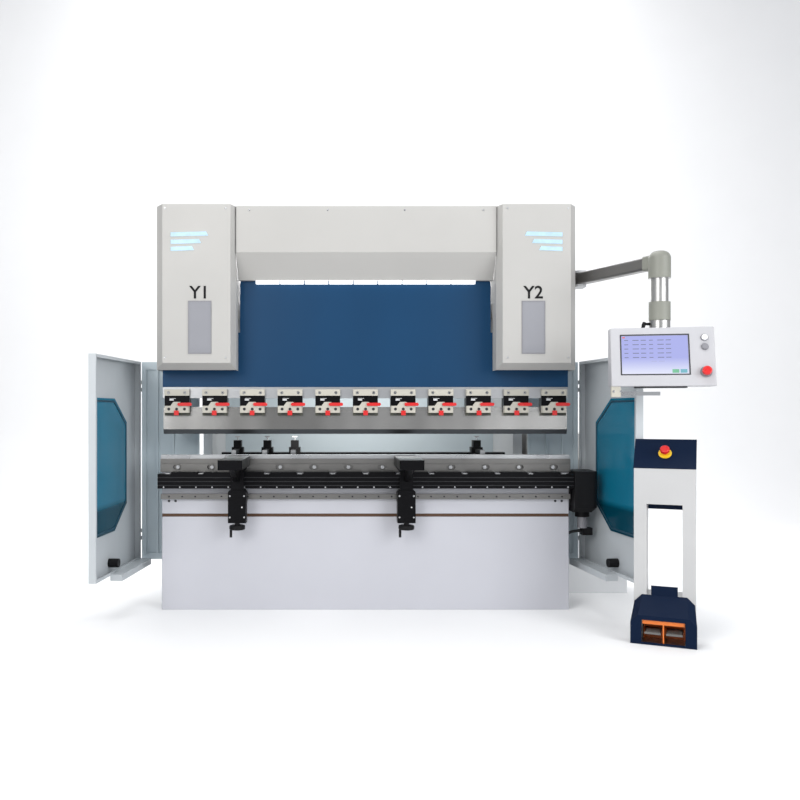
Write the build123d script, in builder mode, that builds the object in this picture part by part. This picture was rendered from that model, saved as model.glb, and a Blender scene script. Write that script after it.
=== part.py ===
"""CNC press brake, built as separate named sub-parts.

X runs along the bending line, Y to the rear and Z up, in millimetres. The origin
is on the floor, under the middle of the bending line.
"""

import os
from math import cos, radians, sin

from build123d import *

os.makedirs("parts", exist_ok=True)

# ------------------------------------------------------------------ fits
RUNNING_GAP = 0.05
SLIDE_GAP = 0.3
SIDES = (-1, 1)

# ------------------------------------------------------------------ bed and table
BED_LENGTH = 2500.0
BED_HALF = BED_LENGTH / 2
BED_PLATE = 70.0
BED_TOP = 845.0
BED_CORNER = 4.0
GROOVE_BOTTOM = 570.0
GROOVE_TOP = 589.0
GROOVE_DEPTH = 14.0
TABLE_LENGTH = BED_LENGTH + 12.0
TABLE_WIDTH = 90.0
TABLE_HEIGHT = 80.0
TABLE_SPLIT = 48.0
TABLE_GROOVE = 5.0
TABLE_BOLTS = 12
TABLE_BOLT_PITCH = (BED_LENGTH + 8.0) / TABLE_BOLTS
TABLE_SLOT_WIDTH = 56.0
TABLE_SLOT_HEIGHT = 30.0
TABLE_SLOT_DEPTH = 16.0
TABLE_BOLT_RADIUS = 12.0
DIE_HEIGHT = 24.0
DIE_WIDTH = 60.0
VEE_OPENING = 16.0
VEE_DEPTH = 11.0

# ------------------------------------------------------------------ front beam and rail
FRONT_BEAM_LENGTH = BED_LENGTH + 24.0
FRONT_BEAM_DEPTH = 70.0
FRONT_BEAM_BOTTOM = 748.0
FRONT_BEAM_TOP = 836.0
FRONT_GROOVE = 5.0
STOP_BLOCKS = 12
STOP_BLOCK_PITCH = (BED_LENGTH - 100.0) / STOP_BLOCKS
STOP_BLOCK_LENGTH = 158.0
STOP_BLOCK_HEIGHT = 12.0
RAIL_BOTTOM = 680.0
RAIL_HEIGHT = 31.0
RAIL_DEPTH = 28.0
RAIL_BOLT_PITCH = 80.0
RAIL_BOLT_RADIUS = 5.5
RAIL_NECK = 4.0

# ------------------------------------------------------------------ side frames
FRAME_SPACING = BED_LENGTH - 430.0
FRAME_PLATE = 60.0
FRAME_TOP = 2380.0
FRAME_REAR = 1150.0
FRAME_UPPER_FRONT = 110.0
THROAT_DEPTH = 400.0
THROAT_BOTTOM = 800.0
THROAT_TOP = 1400.0
THROAT_CORNER = 90.0
FOOT_LENGTH = 180.0
FOOT_WIDTH = 120.0
FOOT_HEIGHT = 25.0
FOOT_FRONT_Y = 150.0
FOOT_REAR_Y = 1050.0
ANCHOR_HOLE_RADIUS = 11.0
TIE_PLATE = 30.0

# ------------------------------------------------------------------ ram
RAM_LENGTH = BED_LENGTH - 10.0
RAM_PLATE = 60.0
RAM_BOTTOM = 1297.0
RAM_SHOULDER = 1700.0
RAM_TOP = 2100.0
RAM_CROWN_LENGTH = BED_LENGTH - 960.0
RAM_TRAVEL_UP = 80.0
RAM_TRAVEL_DOWN = 120.0
RAM_CROWN_CORNER = 120.0
RAM_GUIDE_WIDTH = 40.0
RAM_GUIDE_DEPTH = 30.0
RAM_GUIDE_BOTTOM = 1340.0
GIB_WIDTH = 100.0
GIB_BOTTOM = 1430.0
GIB_ROD_GAP = 10.0
GIB_TOP = RAM_SHOULDER - RAM_TRAVEL_DOWN - GIB_ROD_GAP

# ------------------------------------------------------------------ hydraulics
CYLINDER_BODY = 210.0
CYLINDER_BOTTOM = 1950.0
CYLINDER_TOP = 2370.0
CYLINDER_BORE = 75.0
CYLINDER_END = 40.0
ROD_RADIUS = 60.0
PISTON_HEIGHT = 60.0
PISTON_BOTTOM = 2170.0
VALVE_BLOCK = 80.0
VALVE_HEIGHT = 56.0
TANK_LENGTH = 900.0
TANK_FRONT = 420.0
TANK_DEPTH = 420.0
TANK_BOTTOM = 1930.0
TANK_HEIGHT = 250.0
MOTOR_RADIUS = 95.0
MOTOR_LENGTH = 300.0
PIPE_RADIUS = 10.0
PIPE_BEND = 60.0

# ------------------------------------------------------------------ covers
COVER_HALF_LENGTH = BED_HALF + 6.0
COVER_FRONT_INNER = BED_HALF - 444.0
COVER_BACK_INNER = BED_HALF - 470.0
COVER_OUTER_BEVEL = 46.0
COVER_FRONT = -220.0
COVER_BEVEL_DEPTH = 70.0
COVER_BACK = 105.0
COVER_TOP = 2445.0
COVER_FACE_BOTTOM = 1503.0
COVER_BOTTOM = 1464.0
COVER_SHEET = 3.0
COVER_RAM_GAP = 10.0
WINDOW_WIDTH = 124.0
WINDOW_HEIGHT = 300.0
WINDOW_BOTTOM = 1564.0
WINDOW_CENTRE = BED_HALF - 262.0
WINDOW_PANE = 3.0
UPPER_COVER_FRONT = -170.0
UPPER_COVER_FACE_BOTTOM = 2168.0
UPPER_COVER_LIP = -62.0
UPPER_COVER_BOTTOM = 2016.0
COVER_JOINT_GAP = 2.0
STRIPE_BAR = 3.0
STRIPE_HEIGHT = 24.0
STRIPE_SLANT = 5.0
STRIPE_OUTER = BED_HALF - 90.0
STRIPES = ((2252.0, 222.0), (2208.0, 180.0), (2166.0, 138.0))
WORK_LIGHT_LENGTH = BED_LENGTH - 1160.0
WORK_LIGHT_SECTIONS = 9
WORK_LIGHT_JOINT = 8.0
WORK_LIGHT_HEIGHT = 20.0
WORK_LIGHT_DEPTH = 28.0

# ------------------------------------------------------------------ punch clamps
CLAMPS = 11
CLAMP_PITCH = (BED_LENGTH + 41.0) / CLAMPS
CLAMP_WIDTH = 152.0
CLAMP_DEPTH = 56.0
CLAMP_BOTTOM = 1217.0
CLAMP_SLOT = 13.4
CLAMP_TOP_PLATE_BOTTOM = 1312.0
CLAMP_TOP_PLATE_TOP = 1351.0
CLAMP_TOP_PLATE_DEPTH = 24.0
CLAMP_FACE_DEPTH = 12.0
CLAMP_PLATE_WIDTH = 146.0
CLAMP_PLATE_DEPTH = 14.0
CLAMP_PLATE_BOTTOM = 1207.0
CLAMP_PLATE_SHOULDER = 1250.0
CLAMP_PLATE_HUMP = 1274.0
CLAMP_HUMP_HALF = 20.0
CLAMP_HUMP_FOOT = 38.0
CLAMP_STRIP_BOTTOM = 1190.0
CLAMP_STRIP_DEPTH = 9.0
CLAMP_UPPER_BOLT_X = 50.0
CLAMP_UPPER_BOLT_Z = 1330.0
CLAMP_LOWER_BOLT_X = 48.0
CLAMP_LOWER_BOLT_Z = 1230.0
CLAMP_BOLT_RADIUS = 9.0
CLAMP_BOLT_SINK = 3.0
CLAMP_KEY_WIDTH = 28.0
CLAMP_KEY_BOTTOM = 1192.0
CLAMP_KEY_TOP = 1221.0
CLAMP_KEY_DEPTH = 10.0
LEVER_PIVOT_X = 16.0
LEVER_PIVOT_Z = 1259.0
LEVER_PIN_RADIUS = 6.0
LEVER_PIN_LENGTH = 18.0
LEVER_LENGTH = 88.0
LEVER_HEIGHT = 20.0
LEVER_THICKNESS = 9.0

# ------------------------------------------------------------------ punches
PUNCH_LENGTH = BED_LENGTH - 12.0
PUNCH_JOINT_X = 448.0
PUNCH_JOINT_GAP = 0.4
PUNCH_BODY = 26.0
PUNCH_TIP = 1077.0
PUNCH_BEVEL = 1104.0
PUNCH_TANG = 13.0
PUNCH_TANG_HEIGHT = 26.0
PUNCH_NOSE = 2.0

# ------------------------------------------------------------------ back gauge
GAUGE_RAIL_WIDTH = 50.0
GAUGE_RAIL_HEIGHT = 60.0
GAUGE_RAIL_BOTTOM = 590.0
GAUGE_RAIL_FRONT = 300.0
GAUGE_RAIL_BACK = 1000.0
GAUGE_RAIL_ARM = 40.0
CARRIAGE_Y = 440.0
CARRIAGE_DEPTH = 120.0
CARRIAGE_SOLE = 24.0
CARRIAGE_TUBE = 80.0
POST_X = BED_HALF - 550.0
POST_WIDTH = 60.0
POST_DEPTH = 30.0
POST_TOP = 935.0
GAUGE_BEAM_LENGTH = BED_LENGTH - 640.0
GAUGE_BEAM_FRONT = 330.0
GAUGE_BEAM_DEPTH = 70.0
GAUGE_BEAM_BOTTOM = 867.0
GAUGE_BEAM_TOP = 947.0
GAUGE_SLIDE_BOTTOM = 800.0
GAUGE_SLIDE_WALL = 16.0
FINGER_PLACES = (-825.0, -630.0, -450.0, 745.0)
FINGER_WIDTH = 74.0
FINGER_TOP = 1026.0
FINGER_BAR = 30.0
FINGER_BAR_HEIGHT = 24.0
FINGER_TIP_Y = 112.0
FINGER_SCREW_TOP = 1054.0

# ------------------------------------------------------------------ front supports
SUPPORT_PLACES = {"left": -775.0, "right": 243.0}
SUPPORT_BODY_WIDTH = 108.0
SUPPORT_BODY_BOTTOM = 545.0
SUPPORT_BODY_TOP = 743.0
SUPPORT_BODY_FRONT = -156.0
SUPPORT_BODY_BACK = -78.0
SUPPORT_BODY_FLOOR = 15.0
SUPPORT_SLIDE_WIDTH = 78.0
SUPPORT_SLIDE_DEPTH = 24.0
SUPPORT_SLIDE_FRONT = -150.0
SUPPORT_SLIDE_BOTTOM = 600.0
SUPPORT_ARM_WIDTH = 136.0
SUPPORT_ARM_TOP = 943.0
SUPPORT_ARM_THICKNESS = 56.0
SUPPORT_ARM_FRONT = -520.0
SUPPORT_ARM_BACK = -58.0
SUPPORT_WEB = 30.0
SUPPORT_WEB_DROP = 90.0
RUNNER_WALL = 12.0
WHEEL_RADIUS = 48.0
WHEEL_BOTTOM = 504.0
WHEEL_TOP = 532.0
WHEEL_SHAFT_RADIUS = 8.0
WHEEL_SHAFT_TOP = 690.0
WHEEL_GRIP_RADIUS = 8.0
WHEEL_GRIP_BOTTOM = 458.0

# ------------------------------------------------------------------ crowning drive and its cable
DRIVE_LEFT = BED_HALF + 14.0
DRIVE_RIGHT = BED_HALF + 155.0
DRIVE_FRONT = -112.0
DRIVE_BACK = 108.0
DRIVE_TOP = 852.0
DRIVE_BOTTOM = 602.0
DRIVE_NECK = 40.0
DRIVE_NECK_X = BED_HALF + 102.0
DRIVE_NECK_RADIUS = 44.0
PLUG_Z = 470.0
CABLE_Y = 62.0
CABLE_RADIUS = 9.0
CABLE_ROUTE = (
    (BED_HALF + 100, CABLE_Y, 470),
    (BED_HALF + 50, CABLE_Y, 470),
    (BED_HALF + 12, CABLE_Y + 2, 448),
    (BED_HALF - 14, CABLE_Y + 16, 405),
    (BED_HALF - 54, CABLE_Y + 42, 366),
    (BED_HALF - 110, CABLE_Y + 64, 350),
    (BED_HALF - 158, CABLE_Y + 64, 350),
)

# ------------------------------------------------------------------ side guards
GUARD_REACH = {"left": BED_HALF + 188.0, "right": BED_HALF + 140.0}
GUARD_PLANE_Y = 262.0
GUARD_DEPTH = 14.0
GUARD_BOTTOM = 258.0
GUARD_TOP = 1536.0
GUARD_SHEET = 2.0
GUARD_TOP_BAND = 50.0
GUARD_BOTTOM_BAND = 40.0
GUARD_POST = 30.0
GUARD_RIB = 15.0
GUARD_RIB_STEPS = (62.0, 165.0)
REAR_GUARD_BOTTOM = 120.0
REAR_GUARD_TOP = 1500.0
DOOR_LENGTH = 806.0
DOOR_THICKNESS = 42.0
DOOR_BOTTOM = 262.0
DOOR_TOP = 1536.0
DOOR_SHEET = 3.0
DOOR_LIP = 18.0
DOOR_OPEN = {"left": 5.0, "right": 6.0}
HINGE_RADIUS = 9.0
HINGE_PIN_RADIUS = 5.0
HINGE_LENGTH = 72.0
HINGE_HEIGHTS = (420.0, 1380.0)
HINGE_OFFSET = 6.0
HINGE_SETBACK = 15.0
WINDOW_FREE_SIDE = 44.0
WINDOW_HINGE_SIDE = 610.0
DOOR_WINDOW_BOTTOM = 512.0
DOOR_WINDOW_TOP = 1281.0
DOOR_WINDOW_CUT_Y = 220.0
DOOR_WINDOW_CUT_Z = 145.0
DOOR_PANE = 6.0
DOOR_PANE_LAP = 12.0
DOOR_SEAL = 0.5
LEDGE_WIDTH = 72.0
LEDGE_HEIGHT = 37.0
LEDGE_BOTTOM = 234.0
LEDGE_START = 30.0
LEDGE_END = 590.0
LATCH_RADIUS = 26.0
LATCH_LENGTH = 60.0
LATCH_Z = 322.0
LATCH_ALONG = 500.0

# ------------------------------------------------------------------ control pendant
BOOM_PIVOT_X = BED_HALF + 62.0
BOOM_PIVOT_Y = -62.0
BOOM_Z = 2024.0
BOOM_TUBE = 70.0
BOOM_CORNER = 12.0
ELBOW_X = BED_HALF + 315.0
ELBOW_Y = -667.0
ELBOW_RADIUS = 58.0
ELBOW_BOTTOM = 1934.0
ELBOW_SOCKET = 80.0
ELBOW_ROUND = 42.0
DROP_TUBE_RADIUS = 45.0
DROP_TUBE_BOTTOM = 1790.0
COLLAR_RADIUS = 56.0
COLLAR_TOP = 1806.0
COLLAR_BOTTOM = 1706.0
SWIVEL_RADIUS = 54.0
SWIVEL_GAP = 1.0
SPIGOT_RADIUS = 30.0
SPIGOT_HEIGHT = 60.0
PIVOT_PIN_RADIUS = 22.0
BRACKET_ARM_Y = 175.0
BRACKET_ARM_WIDTH = 70.0
BRACKET_HEIGHT = 60.0
PANEL_WIDTH = 524.0
PANEL_TOP = 1664.0
PANEL_BOTTOM = 1348.0
PANEL_YAW = 12.0
PANEL_LEAN = 76.0
PANEL_TOP_DEPTH = 114.0
PANEL_BACK_LEAN = 28.0
PANEL_CORNER = 10.0
SCREEN_WIDTH = 338.0
SCREEN_HEIGHT = 214.0
SCREEN_X = -38.0
SCREEN_Z = 12.0
SCREEN_SINK = 4.0
BUTTON_X = 212.0
BUTTON_RADIUS = 15.0
BUTTON_HEIGHTS = {"start": 102.0, "stop": 52.0}
BUTTON_HEAD = (5.0, 11.0)
BUTTON_STEM_RADIUS = 8.0
BUTTON_HOLE = 20.0
PANEL_ESTOP_Z = -86.0
ESTOP_RADIUS = 24.0
ESTOP_HEAD = (14.0, 38.0)
ESTOP_STEM_RADIUS = 11.0
ESTOP_STEM_START = -8.0
ESTOP_RING_RADIUS = 34.0
ESTOP_RING = 5.0
HANDLE_BLOCK = 48.0
HANDLE_DROP = 56.0
HANDLE_BAR_LENGTH = 200.0
HANDLE_BAR = 20.0

# ------------------------------------------------------------------ pedestal
PEDESTAL_YAW = 24.0
PEDESTAL_X = BED_HALF + 305.0
PEDESTAL_Y = -760.0
COLUMN_WIDTH = 306.0
COLUMN_DEPTH = 140.0
COLUMN_SHEET = 3.0
COLUMN_TOP = 912.0
COLUMN_OPENING_WIDTH = 178.0
COLUMN_OPENING_BOTTOM = 240.0
COLUMN_OPENING_TOP = 722.0
COLUMN_REAR_TOP = 684.0
COLUMN_BASE_WIDTH = 216.0
COLUMN_BASE_HEIGHT = 150.0
CAP_RISE = 150.0
CAP_SHEET = 4.0
CAP_OVERHANG = 3.0
HOOD_LENGTH = 110.0
HOOD_WIDTH = 324.0
HOOD_FRONT_HEIGHT = 150.0
HOOD_REAR_WIDTH = 300.0
HOOD_REAR_HEIGHT = 240.0
HOOD_CHAMFER = 38.0
HOOD_SHEET = 4.0
HOOD_NECK_WIDTH = 132.0
HOOD_NECK_TOP = 290.0
HOOD_MOUTH_WIDTH = 214.0
HOOD_MOUTH_BOTTOM = 12.0
HOOD_MOUTH_TOP = 128.0
SWITCH_WIDTH = 206.0
SWITCH_BASE = 10.0
SWITCH_FRONT = -100.0
SWITCH_BODY_FRONT = 26.0
SWITCH_BACK = 100.0
SWITCH_CANOPY_BOTTOM = 106.0
SWITCH_TOP = 126.0
SWITCH_DIVIDER = 6.0
PEDAL_WIDTH = 80.0
PEDAL_FRONT = -98.0
PEDAL_THICKNESS = 10.0
PEDAL_X = 53.0
PEDAL_AXLE_Y = 8.0
PEDAL_AXLE_Z = 58.0
PEDAL_AXLE_RADIUS = 5.0
PEDAL_HUB_RADIUS = 11.0
CABINET_LEFT = BED_HALF - 155.0
CABINET_RIGHT = BED_HALF + 540.0
CABINET_FRONT = 430.0
CABINET_BACK = 780.0
CABINET_SPLIT = 600.0
CABINET_TOP = 1066.0
CABINET_EDGE = 3.0

# ------------------------------------------------------------------ worked-out sizes
BED_FRONT = -BED_PLATE / 2
BED_BACK = BED_PLATE / 2
TABLE_TOP = BED_TOP + TABLE_HEIGHT
DIE_TOP = TABLE_TOP + DIE_HEIGHT
FRAME_X = FRAME_SPACING / 2
FRAME_INNER = FRAME_X - FRAME_PLATE / 2
FRAME_OUTER = FRAME_X + FRAME_PLATE / 2
FRONT_BEAM_FRONT = BED_FRONT - FRONT_BEAM_DEPTH
RAIL_FRONT = BED_FRONT - RAIL_DEPTH
RAIL_TOP = RAIL_BOTTOM + RAIL_HEIGHT
RAM_FRONT = -RAM_PLATE / 2
RAM_BACK = RAM_PLATE / 2
CYLINDER_BACK = CYLINDER_BODY / 2


def block(x_span, y_span, z_span, mode=Mode.ADD):
    """A rectangular block between the given lows and highs."""
    with Locations((x_span[0], y_span[0], z_span[0])):
        Box(
            x_span[1] - x_span[0],
            y_span[1] - y_span[0],
            z_span[1] - z_span[0],
            align=(Align.MIN, Align.MIN, Align.MIN),
            mode=mode,
        )


def round_bar(start, direction, radius, length, mode=Mode.ADD):
    """A round bar that starts at a point and runs in one direction."""
    with Locations(Plane(origin=start, z_dir=direction)):
        Cylinder(radius, length, align=(Align.CENTER, Align.CENTER, Align.MIN), mode=mode)


def about(middle, width):
    """The span of a width about its middle."""
    return (middle - width / 2, middle + width / 2)


def beside(side, near, far):
    """A span along X on one side of the middle, from the nearer to the farther place."""
    return (near, far) if side > 0 else (-far, -near)


# ------------------------------------------------------------------ frame, bed and table
def side_frames():
    """Two C-shaped plates with their anchor feet."""
    throat_back = BED_BACK + THROAT_DEPTH
    with BuildPart() as side_frames:
        for side in SIDES:
            with BuildSketch(Plane.YZ.offset(side * FRAME_X - FRAME_PLATE / 2)) as outline:
                with BuildLine():
                    Polyline(
                        (BED_BACK, 0),
                        (FRAME_REAR, 0),
                        (FRAME_REAR, FRAME_TOP - 2 * CYLINDER_BODY),
                        (FRAME_REAR - CYLINDER_BODY, FRAME_TOP),
                        (FRAME_UPPER_FRONT, FRAME_TOP),
                        (FRAME_UPPER_FRONT, THROAT_TOP),
                        (throat_back, THROAT_TOP),
                        (throat_back, THROAT_BOTTOM),
                        (BED_BACK, THROAT_BOTTOM),
                        close=True,
                    )
                make_face()
                throat = outline.vertices().filter_by(lambda corner: abs(corner.X - throat_back) < 1)
                fillet(throat, THROAT_CORNER)
            extrude(amount=FRAME_PLATE)
            for foot_y in (FOOT_FRONT_Y, FOOT_REAR_Y):
                foot_x = side * (FRAME_OUTER + FOOT_WIDTH / 2)
                block(about(foot_x, FOOT_WIDTH), about(foot_y, FOOT_LENGTH), (0, FOOT_HEIGHT))
                round_bar((foot_x, foot_y, 0), (0, 0, 1), ANCHOR_HOLE_RADIUS, FOOT_HEIGHT, Mode.SUBTRACT)
    side_frames.part.label = "side_frames"
    export_step(side_frames.part, "parts/side_frames.step")


def frame_ties_and_gibs():
    """Plates and a box beam that join the side frames, and the blocks that guide the ram."""
    inside = (-FRAME_INNER, FRAME_INNER)
    channel = RAM_GUIDE_WIDTH + 2 * SLIDE_GAP
    with BuildPart() as frame_ties:
        block(inside, (FRAME_REAR - 2 * TIE_PLATE, FRAME_REAR - TIE_PLATE), (60, 520))
        block(inside, (FRAME_REAR - 260, FRAME_REAR - 260 + TIE_PLATE), (1560, TANK_BOTTOM - TIE_PLATE))
        block(inside, (TANK_FRONT - TIE_PLATE, FRAME_REAR - 230), (TANK_BOTTOM - TIE_PLATE, TANK_BOTTOM))
        block(inside, (FRAME_UPPER_FRONT + 10, FRAME_UPPER_FRONT + 90), (2270, 2350))
        for side in SIDES:
            height = (GIB_BOTTOM, GIB_TOP)
            block(about(side * FRAME_X, GIB_WIDTH), (RAM_BACK + 6, FRAME_UPPER_FRONT), height)
            guide_back = RAM_BACK + RAM_GUIDE_DEPTH + SLIDE_GAP
            block(about(side * FRAME_X, channel), (RAM_BACK, guide_back), height, Mode.SUBTRACT)
    frame_ties.part.label = "frame_ties_and_gibs"
    export_step(frame_ties.part, "parts/frame_ties_and_gibs.step")


def boom_bracket():
    """The bracket on the right frame that carries the pendant's pivot pin."""
    arm_y = about(BRACKET_ARM_Y, BRACKET_ARM_WIDTH)
    level = about(BOOM_Z, BRACKET_HEIGHT)
    with BuildPart() as boom_bracket:
        block((FRAME_OUTER, FRAME_OUTER + 20), about(BRACKET_ARM_Y, 130), about(BOOM_Z, 160))
        block((FRAME_OUTER + 20, BOOM_PIVOT_X + BRACKET_ARM_WIDTH / 2), arm_y, level)
        block(
            about(BOOM_PIVOT_X, BRACKET_ARM_WIDTH),
            (BOOM_PIVOT_Y + ELBOW_RADIUS + 8, BRACKET_ARM_Y),
            level,
        )
        fork_y = (BOOM_PIVOT_Y, BOOM_PIVOT_Y + ELBOW_RADIUS + 30)
        fork_foot = BOOM_Z - BOOM_TUBE / 2 - SLIDE_GAP
        fork_head = BOOM_Z + BOOM_TUBE / 2 + SLIDE_GAP
        for low, high in ((fork_foot - 14, fork_foot), (fork_head, fork_head + 14)):
            block(about(BOOM_PIVOT_X, BRACKET_ARM_WIDTH), fork_y, (low, high))
            round_bar((BOOM_PIVOT_X, BOOM_PIVOT_Y, low), (0, 0, 1), BRACKET_ARM_WIDTH / 2, 14)
        for low, high in ((fork_foot, BOOM_Z), (BOOM_Z, fork_head)):
            back = BOOM_PIVOT_Y + ELBOW_RADIUS
            block(about(BOOM_PIVOT_X, BRACKET_ARM_WIDTH), (back, back + 30), (low, high))
        pin_length = fork_head - fork_foot + 28
        round_bar((BOOM_PIVOT_X, BOOM_PIVOT_Y, fork_foot - 14), (0, 0, 1), PIVOT_PIN_RADIUS, pin_length)
    boom_bracket.part.label = "boom_bracket"
    export_step(boom_bracket.part, "parts/boom_bracket.step")


def bed_beam():
    """The upright bed plate with a groove along its face."""
    with BuildPart() as bed_beam:
        block((-BED_LENGTH / 2, BED_LENGTH / 2), (BED_FRONT, BED_BACK), (0, BED_TOP))
        ends = bed_beam.edges().filter_by(Axis.Z).group_by(Axis.Y)[0]
        chamfer(ends, BED_CORNER)
        block(
            (-BED_LENGTH / 2, BED_LENGTH / 2),
            (BED_FRONT, BED_FRONT + GROOVE_DEPTH),
            (GROOVE_BOTTOM, GROOVE_TOP),
            Mode.SUBTRACT,
        )
    bed_beam.part.label = "bed_beam"
    export_step(bed_beam.part, "parts/bed_beam.step")


def table_bolt_places():
    """Middles of the clamping bolts along the table."""
    first = -(TABLE_BOLTS - 1) * TABLE_BOLT_PITCH / 2
    return [first + number * TABLE_BOLT_PITCH for number in range(TABLE_BOLTS)]


def crowning_table():
    """The table on the bed: lower half with bolt pockets, upper half above a groove."""
    half = TABLE_LENGTH / 2
    front = -TABLE_WIDTH / 2
    split = BED_TOP + TABLE_SPLIT
    pocket_top = split - 4
    with BuildPart() as crowning_table:
        block((-half, half), (front, -front), (BED_TOP, TABLE_TOP))
        block((-half, half), (front, front + TABLE_GROOVE), (split, split + TABLE_GROOVE), Mode.SUBTRACT)
        for place in table_bolt_places():
            with BuildSketch(Plane.XZ.offset(-front)):
                with Locations((place, pocket_top - TABLE_SLOT_HEIGHT / 2)):
                    SlotOverall(TABLE_SLOT_WIDTH, TABLE_SLOT_HEIGHT)
            extrude(amount=-TABLE_SLOT_DEPTH, mode=Mode.SUBTRACT)
    crowning_table.part.label = "crowning_table"
    export_step(crowning_table.part, "parts/crowning_table.step")


def table_bolts():
    """Hexagon bolts in the table's pockets."""
    pocket_floor = -TABLE_WIDTH / 2 + TABLE_SLOT_DEPTH
    bolt_z = BED_TOP + TABLE_SPLIT - 4 - TABLE_SLOT_HEIGHT / 2
    with BuildPart() as table_bolts:
        for place in table_bolt_places():
            with BuildSketch(Plane.XZ.offset(-pocket_floor)):
                with Locations((place, bolt_z)):
                    RegularPolygon(TABLE_BOLT_RADIUS, 6)
            extrude(amount=TABLE_SLOT_DEPTH - 3)
    table_bolts.part.label = "table_bolts"
    export_step(table_bolts.part, "parts/table_bolts.step")


def vee_die():
    """The bottom tool: a rail with a V groove under the bending line."""
    half_width = DIE_WIDTH / 2
    with BuildPart() as vee_die:
        with BuildSketch(Plane.YZ.offset(-TABLE_LENGTH / 2)):
            with BuildLine():
                Polyline(
                    (-half_width, TABLE_TOP),
                    (half_width, TABLE_TOP),
                    (half_width, DIE_TOP),
                    (VEE_OPENING / 2, DIE_TOP),
                    (0, DIE_TOP - VEE_DEPTH),
                    (-VEE_OPENING / 2, DIE_TOP),
                    (-half_width, DIE_TOP),
                    close=True,
                )
            make_face()
        extrude(amount=TABLE_LENGTH)
    vee_die.part.label = "vee_die"
    export_step(vee_die.part, "parts/vee_die.step")


def front_beam():
    """The black extrusion in front of the table, with stop blocks along its top."""
    half = FRONT_BEAM_LENGTH / 2
    face = FRONT_BEAM_FRONT
    with BuildPart() as front_beam:
        block((-half, half), (face, BED_FRONT), (FRONT_BEAM_BOTTOM, FRONT_BEAM_TOP))
        for height in (16.0, 40.0, 64.0):
            level = FRONT_BEAM_BOTTOM + height
            block((-half, half), (face, face + FRONT_GROOVE), (level, level + 6), Mode.SUBTRACT)
        first = -(STOP_BLOCKS - 1) * STOP_BLOCK_PITCH / 2
        for number in range(STOP_BLOCKS):
            block(
                about(first + number * STOP_BLOCK_PITCH, STOP_BLOCK_LENGTH),
                (face, BED_FRONT - TABLE_WIDTH / 2 + BED_PLATE / 2 - 2),
                (FRONT_BEAM_TOP, FRONT_BEAM_TOP + STOP_BLOCK_HEIGHT),
            )
    front_beam.part.label = "front_beam"
    export_step(front_beam.part, "parts/front_beam.step")


def guide_rail():
    """The linear rail along the bed for the front supports, with its bolt holes."""
    half = BED_LENGTH / 2
    with BuildPart() as guide_rail:
        block((-half, half), (RAIL_FRONT, BED_FRONT), (RAIL_BOTTOM, RAIL_TOP))
        for low, high in ((RAIL_BOTTOM, RAIL_BOTTOM + RAIL_NECK), (RAIL_TOP - RAIL_NECK, RAIL_TOP)):
            block((-half, half), (BED_FRONT - 18, BED_FRONT - 12), (low, high), Mode.SUBTRACT)
        holes = int(BED_LENGTH / RAIL_BOLT_PITCH)
        first = -(holes - 1) * RAIL_BOLT_PITCH / 2
        for number in range(holes):
            start = (first + number * RAIL_BOLT_PITCH, RAIL_FRONT, (RAIL_BOTTOM + RAIL_TOP) / 2)
            round_bar(start, (0, 1, 0), RAIL_BOLT_RADIUS, 9, Mode.SUBTRACT)
    guide_rail.part.label = "guide_rail"
    export_step(guide_rail.part, "parts/guide_rail.step")


# ------------------------------------------------------------------ crowning drive and cable
def drive_box():
    """The crowning motor's housing, its angled plug and the gland on the frame."""
    exit_x, exit_y, exit_z = CABLE_ROUTE[0]
    gland_x, gland_y, gland_z = CABLE_ROUTE[-1]
    corner = 30.0
    with BuildPart() as drive_box:
        block((DRIVE_LEFT, DRIVE_RIGHT), (DRIVE_FRONT, DRIVE_BACK), (DRIVE_BOTTOM, DRIVE_TOP))
        fillet(drive_box.faces().sort_by(Axis.X)[-1].edges().filter_by(Axis.Z), corner)
        block((BED_LENGTH / 2, DRIVE_LEFT + 1), (BED_FRONT + 5, BED_BACK - 5), (DRIVE_BOTTOM + 30, BED_TOP - 25))
        bottom = drive_box.faces().sort_by(Axis.Z)[0].edges()
        chamfer(bottom.sort_by(Axis.X)[-1], corner)
        neck_top = (DRIVE_NECK_X, CABLE_Y - 20, DRIVE_BOTTOM)
        round_bar(neck_top, (0, 0, -1), DRIVE_NECK_RADIUS, DRIVE_NECK)
        collar_length = DRIVE_BOTTOM - DRIVE_NECK - PLUG_Z - 22
        round_bar(
            (DRIVE_NECK_X, CABLE_Y - 20, DRIVE_BOTTOM - DRIVE_NECK), (0, 0, -1), 30, collar_length
        )
        block((exit_x, exit_x + 62), (exit_y - 42, exit_y + 20), (exit_z - 22, exit_z + 22))
        round_bar((gland_x, gland_y, gland_z), (-1, 0, 0), 17, gland_x - FRAME_OUTER)
    drive_box.part.label = "drive_box"
    export_step(drive_box.part, "parts/drive_box.step")


def arc_radii(route):
    """For each corner of a route, the largest arc that its two runs allow."""
    points = [Vector(*point) for point in route]
    radii = []
    for before, corner, after in zip(points, points[1:], points[2:]):
        run_in = corner - before
        run_out = after - corner
        half_turn = radians(run_in.get_angle(run_out) / 2)
        shorter = min(run_in.length, run_out.length)
        radii.append(0.45 * shorter * cos(half_turn) / sin(half_turn))
    return radii


def drive_cable():
    """The lead from the drive's plug, round the end of the bed, to the frame's gland."""
    radii = arc_radii(CABLE_ROUTE)
    with BuildPart() as drive_cable:
        with BuildLine() as route:
            FilletPolyline(*CABLE_ROUTE, radius=radii)
        with BuildSketch(Plane(origin=CABLE_ROUTE[0], z_dir=(-1, 0, 0))):
            Circle(CABLE_RADIUS)
        sweep(path=route.wires()[0])
    drive_cable.part.label = "drive_cable"
    export_step(drive_cable.part, "parts/drive_cable.step")


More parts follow.
